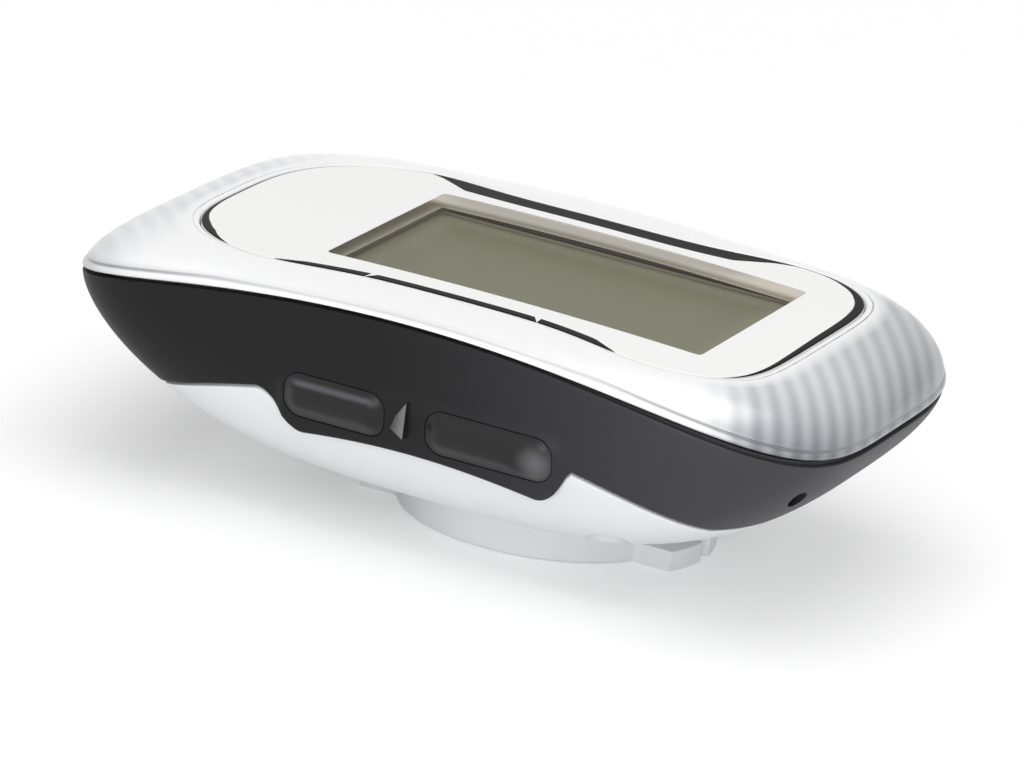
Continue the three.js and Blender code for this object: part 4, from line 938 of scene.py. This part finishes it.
# The boss is turned from its profile, as radius and height, with two ears that lock into the mount.
BOSS_PROFILE = [(0, 0.35), (3.2, 0.35), (3.5, 0.0), (12.05, 0.0), (12.3, 0.1), (12.4, 0.35), (12.4, 2.9)]
BOSS_PROFILE += [(12.55, 3.4), (12.9, 3.75), (13.2, 3.95), (13.2, 4.6), (0, 4.6)]
EAR_REACH, EAR_THICK, EAR_HALF_WIDTH = 15.5, 1.8, 5.5
boss = made_of("quarter turn boss", [(r, BOSS_FORWARD, z) for r, z in BOSS_PROFILE],
               [(k, k + 1) for k in range(len(BOSS_PROFILE) - 1)], [])
pick(boss)
bpy.ops.object.mode_set(mode="EDIT")
bpy.ops.mesh.select_all(action="SELECT")
bpy.ops.mesh.spin(steps=96, angle=2 * math.pi, center=(0, 0, 0), axis=(0, 0, 1))
bpy.ops.object.mode_set(mode="OBJECT")
finished(boss)

bpy.ops.mesh.primitive_cylinder_add(vertices=128, radius=EAR_REACH * MM, depth=EAR_THICK * MM,
                                    location=(0, 0, EAR_THICK / 2 * MM))
ears = bpy.context.object
bpy.ops.object.transform_apply(location=True)
bpy.ops.object.mode_set(mode="EDIT")
for sign in (1, -1):
    bpy.ops.mesh.select_all(action="SELECT")
    bpy.ops.mesh.bisect(plane_co=(sign * EAR_HALF_WIDTH * MM, 0, 0), plane_no=(sign, 0, 0),
                        use_fill=True, clear_outer=True)
bpy.ops.mesh.select_all(action="SELECT")
bpy.ops.mesh.normals_make_consistent(inside=False)
bpy.ops.object.mode_set(mode="OBJECT")
for end in (1, -1):
    detent = drill("detent", 0.9, 0.3, (0, BOSS_FORWARD + end * 15.7, 1.9), (0, 0, 1), 4)
    boolean(ears, detent, "DIFFERENCE")
worked(ears, "BEVEL", width=0.25 * MM, segments=3, limit_method="ANGLE")
boolean(boss, ears, "UNION")
boolean(back_cover, boss, "UNION")
RECESS_RADIUS, RECESS_FOOT = 1.85, 3.3
for x, y in ((16.6, 16.6), (-16.6, 16.6), (12.0, -19.0), (-12.0, -19.0)):
    recess = drill("recess", RECESS_RADIUS, 0.01, (x, y, RECESS_FOOT), (0, 0, -1), 6)
    boolean(back_cover, recess, "DIFFERENCE")
finished(back_cover, 34)
coat(back_cover, moulded("satin white plastic", "f4f5f6", "ebecee", (0.30, 0.42), 4.0, 0.006))


# ---------------------------------------------------------------- port cap
# A rubber flap that closes the charging socket in the tail. It swings down on a rolled hinge, has a
# finger ridge at its top and a plug on its back that seals the socket's mouth.
CLOSING = (0.15, 0.4, 0.8, 1.2, 1.7, 2.1, 2.3995)
CAP_PROFILE = [(-0.3 - step, -0.5) for step in reversed(CLOSING)]
CAP_PROFILE += [(-0.3, -0.5), (-0.06, -0.5), (0.0, -0.44), (0.0, 0.1)]
for angle in np.linspace(15, 90, 6):
    turn = math.radians(angle)
    CAP_PROFILE.append((-0.3 * (1 - math.cos(turn)), 0.1 + 0.3 * math.sin(turn)))
CAP_PROFILE += [(-0.3 - step, 0.4) for step in CLOSING]
RIDGE = (-3.0, 3.0, 13.9, 14.6)
RIDGE_PROFILE = [(0, 0.0), (0, 0.5), (-0.1, 0.65), (-0.2, 0.7)]
PLUG = (-3.95, 3.95, 10.476, 13.776)
PLUG_PROFILE = [(-0.25, -28.4), (-0.07, -28.47), (0, -28.65), (0, 0.1)]
ROLL_AXIS = (0, -32.9308 * MM, 9.7262 * MM)
port_cap = tail_badge("port_cap_flap", CAP, CAP_CORNER, CAP_PROFILE)
boolean(port_cap, tail_badge("ridge", RIDGE, 0.34, RIDGE_PROFILE), "UNION")
boolean(port_cap, tail_badge("plug", PLUG, 0.6, PLUG_PROFILE), "UNION")
bpy.ops.mesh.primitive_cylinder_add(vertices=32, radius=0.5 * MM, depth=12.0 * MM,
                                    rotation=(0, math.pi / 2, 0), location=ROLL_AXIS)
roll = bpy.context.object
bpy.ops.object.transform_apply(location=True, rotation=True)
worked(roll, "BEVEL", width=0.4 * MM, segments=4, limit_method="ANGLE")
boolean(port_cap, roll, "UNION")
finished(port_cap, 34)
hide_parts("usb_cap")
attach(port_cap, "port_cap")
seal_rubber = moulded("seal rubber", "262627", "19191a", (0.62, 0.8), 7.0, 0.015)
coat(port_cap, seal_rubber)


# ---------------------------------------------------------------- what is inside
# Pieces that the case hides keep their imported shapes: the board and its chips, the battery, the
# switches behind the buttons, gaskets and screws. Each gets the finish of its own material.
def dress(paint, *names):
    for name in names:
        coat(nodes[name], paint)


black_plastic = moulded("black plastic", "242426", "151516", (0.42, 0.6), 5.0, 0.008)
dress(black_plastic, "display_tray", "processor", "memory_chip", "radio_chip", "power_chip", "buzzer")
dress(moulded("black acetal", "2a2a2b", "1d1d1e", (0.25, 0.38), 3.0, 0.003),
      *[name for name in nodes if name.startswith("plunger")])
dress(moulded("closed foam", "303236", "1d1e20", (0.85, 0.98), 3.5, 0.09), "battery_pad", "port_membrane")
dress(moulded("pale bonding tape", "ddd7ca", "cfc8ba", (0.6, 0.75), 2.0, 0.004), "lens_adhesive")
dress(seal_rubber, "case_seal")
dress(moulded("milky acrylic", "e6eae0", "d3d9cd", (0.3, 0.45), 1.5, 0.004, Specular_IOR_Level=0.6),
      "light_guide")
dress(moulded("ivory connector", "e0dcc8", "cdc7ad", (0.4, 0.55), 4.0, 0.006), "battery_connector")
dress(moulded("fired ceramic", "d2c09c", "b7a27a", (0.5, 0.7), 4.0, 0.01), "gps_antenna", "chip_antenna")
dress(moulded("red lead", "b3241e", "8f1a16", (0.35, 0.5), 3.0, 0.004), "battery_lead_positive")
dress(moulded("black lead", "232324", "141415", (0.35, 0.5), 3.0, 0.004), "battery_lead_negative")


def brushed(name, light, dark, stretch, gloss):
    """Bare metal with a fine brushing along one way."""
    paint, tree, shader = finish(name, dark, gloss, Metallic=1.0)
    place = add(tree, "TexCoord").outputs["Object"]
    pulled = add(tree, "Mapping", Vector=place, Scale=tuple(1000 * s for s in stretch))
    lines = noise(tree, pulled.outputs[0], 3.0, 4)
    tree.links.new(blend(tree, lines, dark, light), shader.inputs["Base Color"])
    tree.links.new(reckon(tree, "MULTIPLY_ADD", lines, 0.25, gloss - 0.12), shader.inputs["Roughness"])
    bumped(tree, shader, lines, 0.006)
    return paint


dress(brushed("stamped steel", "b9bcc0", "83868a", (1, 0.08, 1), 0.34), "usb_socket", "shield_can",
      "pressure_sensor", *[name for name in nodes if name.startswith("switch")])
dress(brushed("screw steel", "a9acb0", "77797d", (0.6, 0.6, 0.2), 0.3),
      *[name for name in nodes if "screw" in name])
dress(brushed("pouch foil", "cfd2d6", "a2a5aa", (0.25, 0.25, 0.25), 0.4), "battery")

ribbon, tree, shader = finish("amber ribbon", "9a6a2a", 0.35, Coat_Weight=0.4)
across = case_place(tree)[0]
copper = reckon(tree, "SINE", reckon(tree, "MULTIPLY", across, 2 * math.pi / 0.8))
tracks = sharp(tree, copper, -0.2, 4)
tree.links.new(blend(tree, tracks, "8a5c22", "b98542"), shader.inputs["Base Color"])
dress(ribbon, "display_flex")

board, tree, shader = finish("green solder mask", "1d4a31", 0.32, Coat_Weight=0.3)
place = case_place(tree)[-1]
cells = add(tree, "TexVoronoi", Vector=place, Scale=0.45, distance="CHEBYCHEV", Randomness=0.85)
track = sharp(tree, cells.outputs["Distance"], 0.42, 14)
tree.links.new(blend(tree, track, "174026", "2a6644"), shader.inputs["Base Color"])
bumped(tree, shader, track, 0.03)
dress(board, "main_board")
